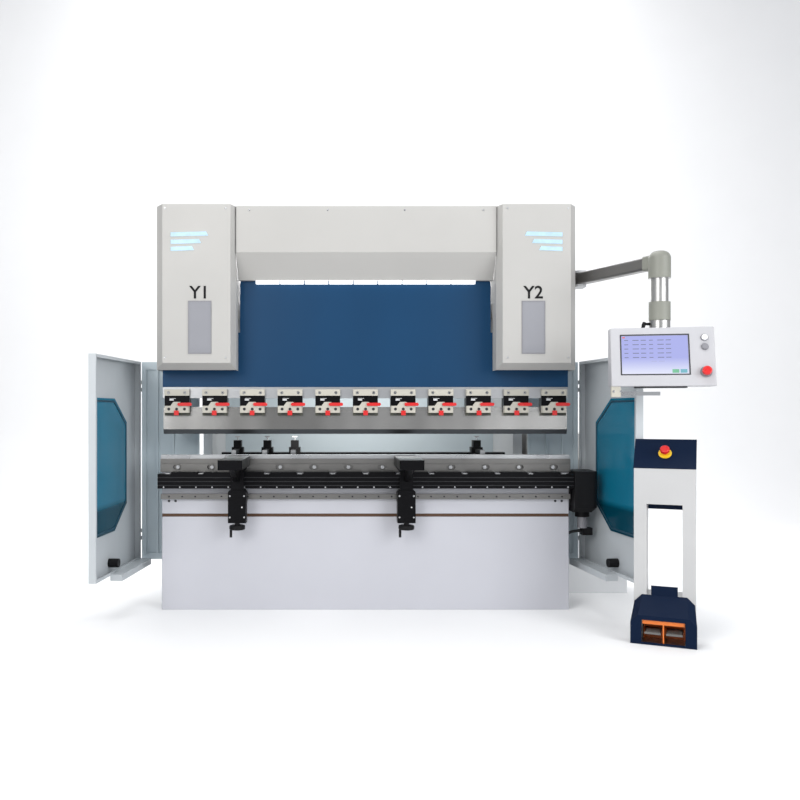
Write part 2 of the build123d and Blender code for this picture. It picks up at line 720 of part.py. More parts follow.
# ------------------------------------------------------------------ covers
def cover_outline(side, shrink):
    """Plan view of a cylinder cover: a front face with a bevel at each side."""
    outer = COVER_HALF_LENGTH - shrink
    front = COVER_FRONT + shrink
    bevel = COVER_FRONT + COVER_BEVEL_DEPTH
    points = (
        (COVER_BACK_INNER + shrink, COVER_BACK),
        (COVER_BACK_INNER + shrink, bevel),
        (COVER_FRONT_INNER + shrink, front),
        (outer - COVER_OUTER_BEVEL, front),
        (outer, bevel),
        (outer, COVER_BACK),
    )
    Polyline(*[(side * x, y) for x, y in points], close=True)


def cylinder_covers():
    """A sheet-metal housing over each cylinder, open behind and below, with its window."""
    with BuildPart() as cylinder_covers:
        for side in SIDES:
            with BuildSketch(Plane.XY.offset(COVER_BOTTOM)):
                with BuildLine():
                    cover_outline(side, 0.0)
                make_face()
            extrude(amount=COVER_TOP - COVER_BOTTOM)
            slope = COVER_FACE_BOTTOM - COVER_BOTTOM
            with BuildSketch(Plane.YZ.offset(side * (COVER_HALF_LENGTH + 10))):
                with BuildLine():
                    Polyline(
                        (COVER_FRONT - 1, COVER_BOTTOM - 1),
                        (COVER_FRONT + COVER_BEVEL_DEPTH, COVER_BOTTOM - 1),
                        (COVER_FRONT + COVER_BEVEL_DEPTH, COVER_BOTTOM),
                        (COVER_FRONT, COVER_BOTTOM + slope),
                        (COVER_FRONT - 1, COVER_BOTTOM + slope),
                        close=True,
                    )
                make_face()
            extrude(amount=-side * (COVER_HALF_LENGTH - COVER_BACK_INNER + 20), mode=Mode.SUBTRACT)
            with BuildSketch(Plane.XY.offset(COVER_FACE_BOTTOM)):
                with BuildLine():
                    cover_outline(side, COVER_SHEET)
                make_face()
            extrude(amount=COVER_TOP - COVER_SHEET - COVER_FACE_BOTTOM, mode=Mode.SUBTRACT)
            low = COVER_BOTTOM - 1
            inner = beside(side, COVER_BACK_INNER + COVER_SHEET, COVER_HALF_LENGTH - COVER_SHEET)
            behind_slope = (COVER_FRONT + COVER_BEVEL_DEPTH + COVER_SHEET, COVER_BACK)
            block(inner, behind_slope, (low, COVER_FACE_BOTTOM + 1), Mode.SUBTRACT)
            ram_side = beside(side, COVER_BACK_INNER - 1, COVER_BACK_INNER + COVER_SHEET + 1)
            ram_high = RAM_SHOULDER + RAM_TRAVEL_UP + COVER_RAM_GAP
            block(ram_side, (RAM_FRONT - COVER_RAM_GAP, COVER_BACK + 1), (low, ram_high), Mode.SUBTRACT)
            pane = about(side * WINDOW_CENTRE, WINDOW_WIDTH)
            pane_y = (COVER_FRONT - WINDOW_PANE, COVER_FRONT)
            block(pane, pane_y, (WINDOW_BOTTOM, WINDOW_BOTTOM + WINDOW_HEIGHT))
    cylinder_covers.part.label = "cylinder_covers"
    export_step(cylinder_covers.part, "parts/cylinder_covers.step")


def upper_cover():
    """The bent cover between the cylinder covers, with its sloping lower face and its top."""
    half = COVER_BACK_INNER - COVER_JOINT_GAP
    sheet = COVER_SHEET
    with BuildPart() as upper_cover:
        with BuildSketch(Plane.YZ.offset(-half)):
            with BuildLine():
                Polyline(
                    (COVER_BACK, COVER_TOP),
                    (UPPER_COVER_FRONT, COVER_TOP),
                    (UPPER_COVER_FRONT, UPPER_COVER_FACE_BOTTOM),
                    (UPPER_COVER_LIP, UPPER_COVER_BOTTOM),
                    (UPPER_COVER_LIP + 30, UPPER_COVER_BOTTOM),
                    (UPPER_COVER_LIP + 30, UPPER_COVER_BOTTOM + sheet),
                    (UPPER_COVER_LIP + 1, UPPER_COVER_BOTTOM + sheet),
                    (UPPER_COVER_FRONT + sheet, UPPER_COVER_FACE_BOTTOM + 1),
                    (UPPER_COVER_FRONT + sheet, COVER_TOP - sheet),
                    (COVER_BACK, COVER_TOP - sheet),
                    close=True,
                )
            make_face()
        extrude(amount=2 * half)
    upper_cover.part.label = "upper_cover"
    export_step(upper_cover.part, "parts/upper_cover.step")


def stripe(side, level, length):
    """One slanting light bar on a cylinder cover's face."""
    outer = STRIPE_OUTER
    with BuildSketch(Plane.XZ.offset(-COVER_FRONT)) as bar:
        with BuildLine():
            Polyline(
                (side * outer, level),
                (side * (outer - length), level + STRIPE_SLANT),
                (side * (outer - length + 12), level + STRIPE_SLANT + STRIPE_HEIGHT),
                (side * outer, level + STRIPE_HEIGHT),
                close=True,
            )
        make_face()
    extrude(bar.sketch, amount=STRIPE_BAR)


def light_bars():
    """Light bars on the cylinder covers and the work light under the upper cover."""
    section = (WORK_LIGHT_LENGTH - (WORK_LIGHT_SECTIONS - 1) * WORK_LIGHT_JOINT) / WORK_LIGHT_SECTIONS
    pitch = section + WORK_LIGHT_JOINT
    light_top = UPPER_COVER_BOTTOM
    with BuildPart() as light_bars:
        for side in SIDES:
            for level, length in STRIPES:
                stripe(side, level, length)
        for number in range(WORK_LIGHT_SECTIONS):
            middle = (number - (WORK_LIGHT_SECTIONS - 1) / 2) * pitch
            light_y = (UPPER_COVER_LIP, UPPER_COVER_LIP + WORK_LIGHT_DEPTH)
            block(about(middle, section), light_y, (light_top - WORK_LIGHT_HEIGHT, light_top))
    light_bars.part.label = "light_bars"
    export_step(light_bars.part, "parts/light_bars.step")


# ------------------------------------------------------------------ hydraulics
def cylinder_body(side):
    """One hydraulic cylinder with its bore, gland and valve block, bolted to its frame."""
    middle = side * FRAME_X
    span = about(middle, CYLINDER_BODY)
    block(span, (-CYLINDER_BACK, CYLINDER_BACK), (CYLINDER_BOTTOM, CYLINDER_TOP))
    block(about(middle, FRAME_PLATE), (CYLINDER_BACK, FRAME_UPPER_FRONT), (CYLINDER_BOTTOM, CYLINDER_TOP))
    bore_bottom = CYLINDER_BOTTOM + CYLINDER_END
    bore_length = CYLINDER_TOP - CYLINDER_END - bore_bottom
    round_bar((middle, 0, bore_bottom), (0, 0, 1), CYLINDER_BORE + RUNNING_GAP, bore_length, Mode.SUBTRACT)
    round_bar((middle, 0, CYLINDER_BOTTOM), (0, 0, 1), ROD_RADIUS + RUNNING_GAP, CYLINDER_END, Mode.SUBTRACT)
    block(about(middle, VALVE_BLOCK), about(0, VALVE_BLOCK), (CYLINDER_TOP, CYLINDER_TOP + VALVE_HEIGHT))


def oil_pipe(side):
    """A steel pipe from the tank, over the frame, to one valve block."""
    level = CYLINDER_TOP + VALVE_HEIGHT / 2 + 8
    valve_back = VALVE_BLOCK / 2
    start = (side * TANK_LENGTH / 3, TANK_FRONT + TANK_DEPTH / 4, TANK_BOTTOM + TANK_HEIGHT)
    with BuildLine() as route:
        FilletPolyline(
            start,
            (start[0], start[1], level),
            (side * FRAME_X, start[1], level),
            (side * FRAME_X, valve_back, level),
            radius=PIPE_BEND,
        )
    with BuildSketch(Plane(origin=start, z_dir=(0, 0, 1))) as section:
        Circle(PIPE_RADIUS)
    sweep(sections=section.sketch, path=route.wires()[0])


def hydraulics():
    """Two cylinders, the oil tank with its motor and pump, and the pipes between them."""
    tank_top = TANK_BOTTOM + TANK_HEIGHT
    tank_middle = TANK_FRONT + TANK_DEPTH / 2
    with BuildPart() as hydraulics:
        for side in SIDES:
            cylinder_body(side)
        block(about(0, TANK_LENGTH), (TANK_FRONT, TANK_FRONT + TANK_DEPTH), (TANK_BOTTOM, tank_top))
        motor_start = (-MOTOR_LENGTH / 2, tank_middle + 40, tank_top + MOTOR_RADIUS + 10)
        round_bar(motor_start, (1, 0, 0), MOTOR_RADIUS, MOTOR_LENGTH)
        block(about(0, MOTOR_LENGTH / 2), about(tank_middle + 40, 120), (tank_top, tank_top + MOTOR_RADIUS))
        round_bar((MOTOR_LENGTH / 2, tank_middle + 40, tank_top + MOTOR_RADIUS + 10), (1, 0, 0), 50, 110)
        for side in SIDES:
            oil_pipe(side)
    hydraulics.part.label = "hydraulics"
    export_step(hydraulics.part, "parts/hydraulics.step")


# ------------------------------------------------------------------ ram and its tools
def clamp_places():
    """Middles of the punch clamps along the ram."""
    return [(number - (CLAMPS - 1) / 2) * CLAMP_PITCH for number in range(CLAMPS)]


def ram_beam():
    """The upright ram plate with low shoulders under the cylinders and a guide bar behind each."""
    half = RAM_LENGTH / 2
    crown = RAM_CROWN_LENGTH / 2
    with BuildPart() as ram_beam:
        with BuildSketch(Plane.XZ.offset(-RAM_BACK)) as outline:
            with BuildLine():
                Polyline(
                    (-half, RAM_BOTTOM),
                    (half, RAM_BOTTOM),
                    (half, RAM_SHOULDER),
                    (crown, RAM_SHOULDER),
                    (crown, RAM_TOP),
                    (-crown, RAM_TOP),
                    (-crown, RAM_SHOULDER),
                    (-half, RAM_SHOULDER),
                    close=True,
                )
            make_face()
            crown_corners = outline.vertices().filter_by(lambda corner: abs(abs(corner.X) - crown) < 1)
            fillet(crown_corners.filter_by(lambda corner: corner.Y > RAM_TOP - 1), RAM_CROWN_CORNER)
        extrude(amount=RAM_PLATE)
        for side in SIDES:
            guide_y = (RAM_BACK, RAM_BACK + RAM_GUIDE_DEPTH)
            block(about(side * FRAME_X, RAM_GUIDE_WIDTH), guide_y, (RAM_GUIDE_BOTTOM, RAM_SHOULDER))
    ram_beam.part.label = "ram_beam"
    export_step(ram_beam.part, "parts/ram_beam.step")


def piston_rods():
    """The two piston rods, from the ram's shoulders into the cylinders."""
    with BuildPart() as piston_rods:
        for side in SIDES:
            middle = side * FRAME_X
            rod_length = PISTON_BOTTOM - RAM_SHOULDER
            round_bar((middle, 0, RAM_SHOULDER), (0, 0, 1), ROD_RADIUS, rod_length)
            round_bar((middle, 0, PISTON_BOTTOM), (0, 0, 1), CYLINDER_BORE, PISTON_HEIGHT)
    piston_rods.part.label = "piston_rods"
    export_step(piston_rods.part, "parts/piston_rods.step")


def clamp_bodies():
    """The clamps' steel bodies under the ram, each with a slot for the punch's tang."""
    face_y = (RAM_FRONT - CLAMP_FACE_DEPTH, RAM_FRONT)
    tang = about(0, CLAMP_SLOT)
    with BuildPart() as clamp_bodies:
        for place in clamp_places():
            span = about(place, CLAMP_WIDTH)
            block(span, about(0, CLAMP_DEPTH), (CLAMP_BOTTOM, RAM_BOTTOM))
            block(span, face_y, (CLAMP_PLATE_SHOULDER, CLAMP_TOP_PLATE_BOTTOM))
            back_of_face = (RAM_FRONT, -CLAMP_DEPTH / 2)
            block(span, back_of_face, (CLAMP_PLATE_SHOULDER, RAM_BOTTOM))
            block(span, tang, (CLAMP_BOTTOM, CLAMP_BOTTOM + PUNCH_TANG_HEIGHT + 2), Mode.SUBTRACT)
            pin = (place + LEVER_PIVOT_X, RAM_FRONT - CLAMP_FACE_DEPTH, LEVER_PIVOT_Z)
            round_bar(pin, (0, 1, 0), LEVER_PIN_RADIUS + RUNNING_GAP, LEVER_PIN_LENGTH, Mode.SUBTRACT)
    clamp_bodies.part.label = "clamp_bodies"
    export_step(clamp_bodies.part, "parts/clamp_bodies.step")


def lower_plate_outline(place):
    """Front view of a lower clamp plate: straight below, with a hump in the middle above."""
    half = CLAMP_PLATE_WIDTH / 2
    with BuildSketch(Plane.XZ.offset(-RAM_FRONT + CLAMP_FACE_DEPTH)) as outline:
        with BuildLine():
            Polyline(
                (place - half, CLAMP_PLATE_BOTTOM),
                (place + half, CLAMP_PLATE_BOTTOM),
                (place + half, CLAMP_PLATE_SHOULDER - 6),
                (place + half - 6, CLAMP_PLATE_SHOULDER),
                (place + CLAMP_HUMP_FOOT, CLAMP_PLATE_SHOULDER),
                (place + CLAMP_HUMP_HALF, CLAMP_PLATE_HUMP),
                (place - CLAMP_HUMP_HALF, CLAMP_PLATE_HUMP),
                (place - CLAMP_HUMP_FOOT, CLAMP_PLATE_SHOULDER),
                (place - half + 6, CLAMP_PLATE_SHOULDER),
                (place - half, CLAMP_PLATE_SHOULDER - 6),
                close=True,
            )
        make_face()
    return outline.sketch


def clamp_plates():
    """Upper and lower pressure plates, lower strip, release key and sunk bolts of each clamp."""
    face = RAM_FRONT - CLAMP_FACE_DEPTH
    plate_front = face - CLAMP_PLATE_DEPTH
    upper_front = RAM_FRONT - CLAMP_TOP_PLATE_DEPTH
    upper = (CLAMP_TOP_PLATE_BOTTOM, CLAMP_TOP_PLATE_TOP)
    bolt_wall = 3.0
    with BuildPart() as clamp_plates:
        for place in clamp_places():
            span = about(place, CLAMP_WIDTH)
            block(span, (upper_front, RAM_FRONT), upper)
            extrude(lower_plate_outline(place), amount=CLAMP_PLATE_DEPTH)
            strip_y = (-CLAMP_DEPTH / 2 - CLAMP_STRIP_DEPTH, -CLAMP_DEPTH / 2)
            block(span, (face, -CLAMP_DEPTH / 2), (CLAMP_PLATE_BOTTOM, CLAMP_PLATE_SHOULDER))
            block(span, strip_y, (CLAMP_STRIP_BOTTOM, CLAMP_PLATE_BOTTOM))
            key_y = (plate_front - CLAMP_KEY_DEPTH, plate_front)
            block(about(place, CLAMP_KEY_WIDTH), key_y, (CLAMP_KEY_BOTTOM, CLAMP_KEY_TOP))
            for offset in (-CLAMP_UPPER_BOLT_X, CLAMP_UPPER_BOLT_X):
                hole = (place + offset, upper_front, CLAMP_UPPER_BOLT_Z)
                upper_hole = CLAMP_TOP_PLATE_DEPTH - bolt_wall
                round_bar(hole, (0, 1, 0), CLAMP_BOLT_RADIUS, upper_hole, Mode.SUBTRACT)
                head = (place + offset, upper_front + CLAMP_BOLT_SINK, CLAMP_UPPER_BOLT_Z)
                round_bar(head, (0, 1, 0), CLAMP_BOLT_RADIUS - 1, CLAMP_TOP_PLATE_DEPTH - CLAMP_BOLT_SINK)
            for offset in (-CLAMP_LOWER_BOLT_X, 0, CLAMP_LOWER_BOLT_X):
                hole = (place + offset, plate_front, CLAMP_LOWER_BOLT_Z)
                round_bar(hole, (0, 1, 0), CLAMP_BOLT_RADIUS, CLAMP_PLATE_DEPTH - bolt_wall, Mode.SUBTRACT)
                head = (place + offset, plate_front + CLAMP_BOLT_SINK, CLAMP_LOWER_BOLT_Z)
                round_bar(head, (0, 1, 0), CLAMP_BOLT_RADIUS - 1, CLAMP_PLATE_DEPTH - CLAMP_BOLT_SINK)
            pin = (place + LEVER_PIVOT_X, plate_front, LEVER_PIVOT_Z)
            round_bar(pin, (0, 1, 0), LEVER_PIN_RADIUS + RUNNING_GAP, LEVER_PIN_LENGTH, Mode.SUBTRACT)
    clamp_plates.part.label = "clamp_plates"
    export_step(clamp_plates.part, "parts/clamp_plates.step")


def clamp_levers():
    """One quick-release lever for each clamp, with its pivot pin."""
    plate_front = RAM_FRONT - CLAMP_FACE_DEPTH - CLAMP_PLATE_DEPTH
    for number, place in enumerate(clamp_places(), start=1):
        name = f"clamp_lever_{number:02d}"
        pivot_x = place + LEVER_PIVOT_X
        with BuildPart() as clamp_lever:
            with BuildSketch(Plane.XZ.offset(-plate_front + 1)):
                with Locations((pivot_x + LEVER_LENGTH / 2 - LEVER_HEIGHT / 2, LEVER_PIVOT_Z)):
                    SlotOverall(LEVER_LENGTH, LEVER_HEIGHT)
            extrude(amount=LEVER_THICKNESS)
            fillet(clamp_lever.faces().sort_by(Axis.Y)[0].edges(), 2)
            pin = (pivot_x, plate_front - 1, LEVER_PIVOT_Z)
            round_bar(pin, (0, 1, 0), LEVER_PIN_RADIUS, LEVER_PIN_LENGTH - 1)
        clamp_lever.part.label = name
        export_step(clamp_lever.part, f"parts/{name}.step")


def punches():
    """The upper tools: two lengths of punch with a bevelled tip and a tang in the clamps."""
    half_body = PUNCH_BODY / 2
    half_tang = PUNCH_TANG / 2
    half = PUNCH_LENGTH / 2
    joint = PUNCH_JOINT_GAP / 2
    with BuildPart() as punches:
        for start, end in ((-half, PUNCH_JOINT_X - joint), (PUNCH_JOINT_X + joint, half)):
            with BuildSketch(Plane.YZ.offset(start)):
                with BuildLine():
                    Polyline(
                        (-half_body, CLAMP_BOTTOM),
                        (-half_body, PUNCH_BEVEL),
                        (-PUNCH_NOSE / 2, PUNCH_TIP),
                        (PUNCH_NOSE / 2, PUNCH_TIP),
                        (half_body, PUNCH_BEVEL),
                        (half_body, CLAMP_BOTTOM),
                        (half_tang, CLAMP_BOTTOM),
                        (half_tang, CLAMP_BOTTOM + PUNCH_TANG_HEIGHT),
                        (-half_tang, CLAMP_BOTTOM + PUNCH_TANG_HEIGHT),
                        (-half_tang, CLAMP_BOTTOM),
                        close=True,
                    )
                make_face()
            extrude(amount=end - start)
    punches.part.label = "punches"
    export_step(punches.part, "parts/punches.step")


# ------------------------------------------------------------------ back gauge
def gauge_rails():
    """Covered guideways along both frames for the back gauge."""
    top = GAUGE_RAIL_BOTTOM + GAUGE_RAIL_HEIGHT
    with BuildPart() as gauge_rails:
        for side in SIDES:
            arm_end = FRAME_INNER - GAUGE_RAIL_ARM
            rail = beside(side, arm_end - GAUGE_RAIL_WIDTH, arm_end)
            block(rail, (GAUGE_RAIL_FRONT, GAUGE_RAIL_BACK), (GAUGE_RAIL_BOTTOM, top))
            for place in (GAUGE_RAIL_FRONT, GAUGE_RAIL_BACK - 80):
                lug = (GAUGE_RAIL_BOTTOM, GAUGE_RAIL_BOTTOM + 30)
                block(beside(side, arm_end, FRAME_INNER), (place, place + 80), lug)
    gauge_rails.part.label = "gauge_rails"
    export_step(gauge_rails.part, "parts/gauge_rails.step")


def gauge_carriage():
    """The carriage on the guideways: a cross tube with a post at each end for the height axis."""
    rail_top = GAUGE_RAIL_BOTTOM + GAUGE_RAIL_HEIGHT
    outer = FRAME_INNER - GAUGE_RAIL_ARM
    inner = outer - GAUGE_RAIL_WIDTH
    depth = (CARRIAGE_Y, CARRIAGE_Y + CARRIAGE_DEPTH)
    sole_bottom = rail_top + RUNNING_GAP
    tube_bottom = sole_bottom + CARRIAGE_SOLE
    skirt = 12.0
    with BuildPart() as gauge_carriage:
        block((-outer - skirt, outer + skirt), depth, (tube_bottom, tube_bottom + CARRIAGE_TUBE))
        for side in SIDES:
            sole = beside(side, inner - skirt, outer + skirt)
            block(sole, depth, (sole_bottom, tube_bottom))
            block(beside(side, inner - skirt, inner - RUNNING_GAP), depth, (sole_bottom - 40, sole_bottom))
            post_y = (CARRIAGE_Y, CARRIAGE_Y + POST_DEPTH)
            block(about(side * POST_X, POST_WIDTH), post_y, (tube_bottom + CARRIAGE_TUBE, POST_TOP))
    gauge_carriage.part.label = "gauge_carriage"
    export_step(gauge_carriage.part, "parts/gauge_carriage.step")


def gauge_beam():
    """The beam that carries the stop fingers, with a slide round each post."""
    beam_back = GAUGE_BEAM_FRONT + GAUGE_BEAM_DEPTH
    wall = GAUGE_SLIDE_WALL
    with BuildPart() as gauge_beam:
        level = (GAUGE_BEAM_BOTTOM, GAUGE_BEAM_TOP)
        block(about(0, GAUGE_BEAM_LENGTH), (GAUGE_BEAM_FRONT, beam_back), level)
        for side in SIDES:
            slide = about(side * POST_X, POST_WIDTH + 2 * wall)
            height = (GAUGE_SLIDE_BOTTOM, GAUGE_BEAM_TOP - 20)
            block(slide, (beam_back, CARRIAGE_Y + POST_DEPTH + wall), height)
            bore = about(side * POST_X, POST_WIDTH + 2 * RUNNING_GAP)
            bore_y = (CARRIAGE_Y - RUNNING_GAP, CARRIAGE_Y + POST_DEPTH + RUNNING_GAP)
            block(bore, bore_y, height, Mode.SUBTRACT)
    gauge_beam.part.label = "gauge_beam"
    export_step(gauge_beam.part, "parts/gauge_beam.step")


def gauge_fingers():
    """Four stop fingers on the beam, each with its bar and its clamping screw."""
    back = GAUGE_BEAM_FRONT + GAUGE_BEAM_DEPTH
    wall = 12.0
    sole = GAUGE_BEAM_TOP + RUNNING_GAP
    bar = (sole, sole + FINGER_BAR_HEIGHT)
    front = GAUGE_BEAM_FRONT - wall
    hook = (GAUGE_BEAM_TOP - 40, sole)
    for number, place in enumerate(FINGER_PLACES, start=1):
        name = f"gauge_finger_{number}"
        with BuildPart() as gauge_finger:
            span = about(place, FINGER_WIDTH)
            block(span, (front, back), (sole, sole + 34))
            block(about(place, FINGER_WIDTH - 24), (front, back - 14), (sole + 34, FINGER_TOP))
            block(span, (front, GAUGE_BEAM_FRONT - RUNNING_GAP), hook)
            block(about(place, FINGER_BAR), (FINGER_TIP_Y, front), bar)
            stem = (place, GAUGE_BEAM_FRONT + 14, FINGER_TOP)
            round_bar(stem, (0, 0, 1), 5, FINGER_SCREW_TOP - FINGER_TOP - 8)
            top = (FINGER_SCREW_TOP - 8, FINGER_SCREW_TOP)
            block(about(place, 34), about(GAUGE_BEAM_FRONT + 14, 12), top)
        gauge_finger.part.label = name
        export_step(gauge_finger.part, f"parts/{name}.step")


# ------------------------------------------------------------------ front supports
def support_carriage(name, place):
    """The carriage that rides on the guide rail and holds a support's upright slide."""
    body = (SUPPORT_BODY_BOTTOM, SUPPORT_BODY_TOP)
    rail_low = RAIL_BOTTOM - RUNNING_GAP
    rail_high = RAIL_TOP + RUNNING_GAP
    runner_y = (SUPPORT_BODY_BACK, BED_FRONT - 6)
    with BuildPart() as carriage:
        depth = (SUPPORT_BODY_FRONT, SUPPORT_BODY_BACK)
        block(about(place, SUPPORT_BODY_WIDTH), depth, body)
        front_corners = carriage.faces().sort_by(Axis.Z)[-1].edges().filter_by(Axis.Y)
        chamfer(front_corners, 10)
        runner = (rail_low - RUNNER_WALL, rail_high + RUNNER_WALL)
        block(about(place, SUPPORT_BODY_WIDTH), runner_y, runner)
        groove_y = (RAIL_FRONT - SLIDE_GAP, BED_FRONT)
        block(about(place, SUPPORT_BODY_WIDTH), groove_y, (rail_low, rail_high), Mode.SUBTRACT)
        pocket = (SUPPORT_BODY_BOTTOM + SUPPORT_BODY_FLOOR, SUPPORT_BODY_TOP)
        slide_back = SUPPORT_SLIDE_FRONT + SUPPORT_SLIDE_DEPTH + RUNNING_GAP
        pocket_y = (SUPPORT_SLIDE_FRONT - RUNNING_GAP, slide_back)
        block(about(place, SUPPORT_SLIDE_WIDTH + 2 * RUNNING_GAP), pocket_y, pocket, Mode.SUBTRACT)
        screw_y = SUPPORT_SLIDE_FRONT + SUPPORT_SLIDE_DEPTH / 2
        hole = (place, screw_y, SUPPORT_BODY_BOTTOM)
        hole_radius = WHEEL_SHAFT_RADIUS + RUNNING_GAP
        round_bar(hole, (0, 0, 1), hole_radius, SUPPORT_BODY_FLOOR, Mode.SUBTRACT)
    carriage.part.label = name
    export_step(carriage.part, f"parts/{name}.step")


def support_arm(name, place):
    """A support's table arm on its upright slide, braced by a web."""
    arm_bottom = SUPPORT_ARM_TOP - SUPPORT_ARM_THICKNESS
    slide_back = SUPPORT_SLIDE_FRONT + SUPPORT_SLIDE_DEPTH
    screw_y = SUPPORT_SLIDE_FRONT + SUPPORT_SLIDE_DEPTH / 2
    bore_depth = WHEEL_SHAFT_TOP - SUPPORT_SLIDE_BOTTOM + 80
    with BuildPart() as arm:
        arm_y = (SUPPORT_ARM_FRONT, SUPPORT_ARM_BACK)
        block(about(place, SUPPORT_ARM_WIDTH), arm_y, (arm_bottom, SUPPORT_ARM_TOP))
        chamfer(arm.faces().sort_by(Axis.Y)[0].edges().filter_by(Axis.Z), 6)
        slide_y = (SUPPORT_SLIDE_FRONT, slide_back)
        block(about(place, SUPPORT_SLIDE_WIDTH), slide_y, (SUPPORT_SLIDE_BOTTOM, arm_bottom))
        with BuildSketch(Plane.YZ.offset(place - SUPPORT_WEB / 2)):
            with BuildLine():
                Polyline(
                    (SUPPORT_SLIDE_FRONT, arm_bottom),
                    (SUPPORT_SLIDE_FRONT, arm_bottom - SUPPORT_WEB_DROP),
                    (SUPPORT_SLIDE_FRONT - 40, arm_bottom - SUPPORT_WEB_DROP),
                    (SUPPORT_ARM_FRONT + 60, arm_bottom),
                    close=True,
                )
            make_face()
        extrude(amount=SUPPORT_WEB)
        with BuildSketch(Plane.XZ.offset(-SUPPORT_SLIDE_FRONT)):
            with BuildLine():
                Polyline(
                    (place - SUPPORT_ARM_WIDTH / 2, arm_bottom),
                    (place - SUPPORT_SLIDE_WIDTH / 2, arm_bottom - 40),
                    (place + SUPPORT_SLIDE_WIDTH / 2, arm_bottom - 40),
                    (place + SUPPORT_ARM_WIDTH / 2, arm_bottom),
                    close=True,
                )
            make_face()
        extrude(amount=-SUPPORT_SLIDE_DEPTH)
        bore = (place, screw_y, SUPPORT_SLIDE_BOTTOM)
        round_bar(bore, (0, 0, 1), WHEEL_SHAFT_RADIUS + SLIDE_GAP, bore_depth, Mode.SUBTRACT)
    arm.part.label = name
    export_step(arm.part, f"parts/{name}.step")


def support_wheel(name, place):
    """A height screw with its handwheel and cranking grip."""
    screw_y = SUPPORT_SLIDE_FRONT + SUPPORT_SLIDE_DEPTH / 2
    hub_radius = 16.0
    grip_x = place - WHEEL_RADIUS + WHEEL_GRIP_RADIUS + 2
    with BuildPart() as wheel:
        with BuildSketch(Plane.XY.offset(WHEEL_BOTTOM)):
            with Locations((place, screw_y)):
                Circle(WHEEL_RADIUS)
                with PolarLocations(WHEEL_RADIUS - 22, 3, start_angle=60):
                    Circle(8, mode=Mode.SUBTRACT)
        extrude(amount=WHEEL_TOP - WHEEL_BOTTOM)
        fillet(wheel.edges().filter_by(GeomType.CIRCLE).sort_by(SortBy.RADIUS)[-2:], 9)
        hub_top = SUPPORT_BODY_BOTTOM - SLIDE_GAP
        round_bar((place, screw_y, WHEEL_TOP), (0, 0, 1), hub_radius, hub_top - WHEEL_TOP)
        round_bar((place, screw_y, hub_top), (0, 0, 1), WHEEL_SHAFT_RADIUS, WHEEL_SHAFT_TOP - hub_top)
        grip_length = WHEEL_BOTTOM - WHEEL_GRIP_BOTTOM + 6
        round_bar((grip_x, screw_y, WHEEL_GRIP_BOTTOM), (0, 0, 1), WHEEL_GRIP_RADIUS, grip_length)
    wheel.part.label = name
    export_step(wheel.part, f"parts/{name}.step")


# ------------------------------------------------------------------ guards and doors
def side_sign(name):
    """-1 for the left side and 1 for the right side."""
    return -1 if name == "left" else 1


def hinge_pin(name):
    """The upright hinge axis of one door, as X and Y."""
    outer = GUARD_REACH[name] + DOOR_THICKNESS + HINGE_OFFSET
    return side_sign(name) * outer, GUARD_PLANE_Y


def fixed_guard(name):
    """A folded panel from a side frame out to the door, with the fixed hinge leaves."""
    side = side_sign(name)
    reach = GUARD_REACH[name]
    front = GUARD_PLANE_Y
    back = front + GUARD_DEPTH
    height = (GUARD_BOTTOM, GUARD_TOP)
    block(beside(side, FRAME_OUTER, reach), (back - GUARD_SHEET, back), height)
    block(beside(side, FRAME_OUTER, reach), (front, back), (GUARD_TOP - GUARD_TOP_BAND, GUARD_TOP))
    block(beside(side, FRAME_OUTER, reach), (front, back), (GUARD_BOTTOM, GUARD_BOTTOM + GUARD_BOTTOM_BAND))
    block(beside(side, FRAME_OUTER, FRAME_OUTER + GUARD_RIB), (front, back), height)
    block(beside(side, reach - GUARD_POST, reach), (front, back + GUARD_POST), height)
    for step in GUARD_RIB_STEPS:
        rib_outer = reach - GUARD_POST - step
        block(beside(side, rib_outer - GUARD_RIB, rib_outer), (front, back), height)
    pin_x, pin_y = hinge_pin(name)
    for level in HINGE_HEIGHTS:
        low = level - HINGE_LENGTH / 2
        third = HINGE_LENGTH / 3
        for start in (low, low + 2 * third):
            leaf = beside(side, reach, abs(pin_x))
            block(leaf, (pin_y, pin_y + HINGE_RADIUS), (start, start + third))
            round_bar((pin_x, pin_y, start), (0, 0, 1), HINGE_RADIUS, third)
        round_bar((pin_x, pin_y, low), (0, 0, 1), HINGE_PIN_RADIUS, HINGE_LENGTH)


def guard_panels():
    """The fixed side guards and the rear guard."""
    with BuildPart() as guard_panels:
        for name in GUARD_REACH:
            fixed_guard(name)
        half = FRAME_OUTER
        rear = (REAR_GUARD_BOTTOM, REAR_GUARD_TOP)
        block((-half, half), (FRAME_REAR, FRAME_REAR + GUARD_SHEET), rear)
        for place in (-half, -half / 3, half / 3 - GUARD_POST, half - GUARD_POST):
            block((place, place + GUARD_POST), (FRAME_REAR, FRAME_REAR + GUARD_DEPTH), rear)
    guard_panels.part.label = "guard_panels"
    export_step(guard_panels.part, "parts/guard_panels.step")


def window_outline(lap):
    """The door window: two corners on the hinge side are cut off, and lap widens it."""
    near = DOOR_LENGTH + HINGE_SETBACK - WINDOW_HINGE_SIDE - lap
    far = DOOR_LENGTH + HINGE_SETBACK - WINDOW_FREE_SIDE + lap
    bottom = DOOR_WINDOW_BOTTOM - lap
    top = DOOR_WINDOW_TOP + lap
    Polyline(
        (far, bottom),
        (far, top),
        (near + DOOR_WINDOW_CUT_Y, top),
        (near, top - DOOR_WINDOW_CUT_Z),
        (near, bottom + DOOR_WINDOW_CUT_Z),
        (near + DOOR_WINDOW_CUT_Y, bottom),
        close=True,
    )


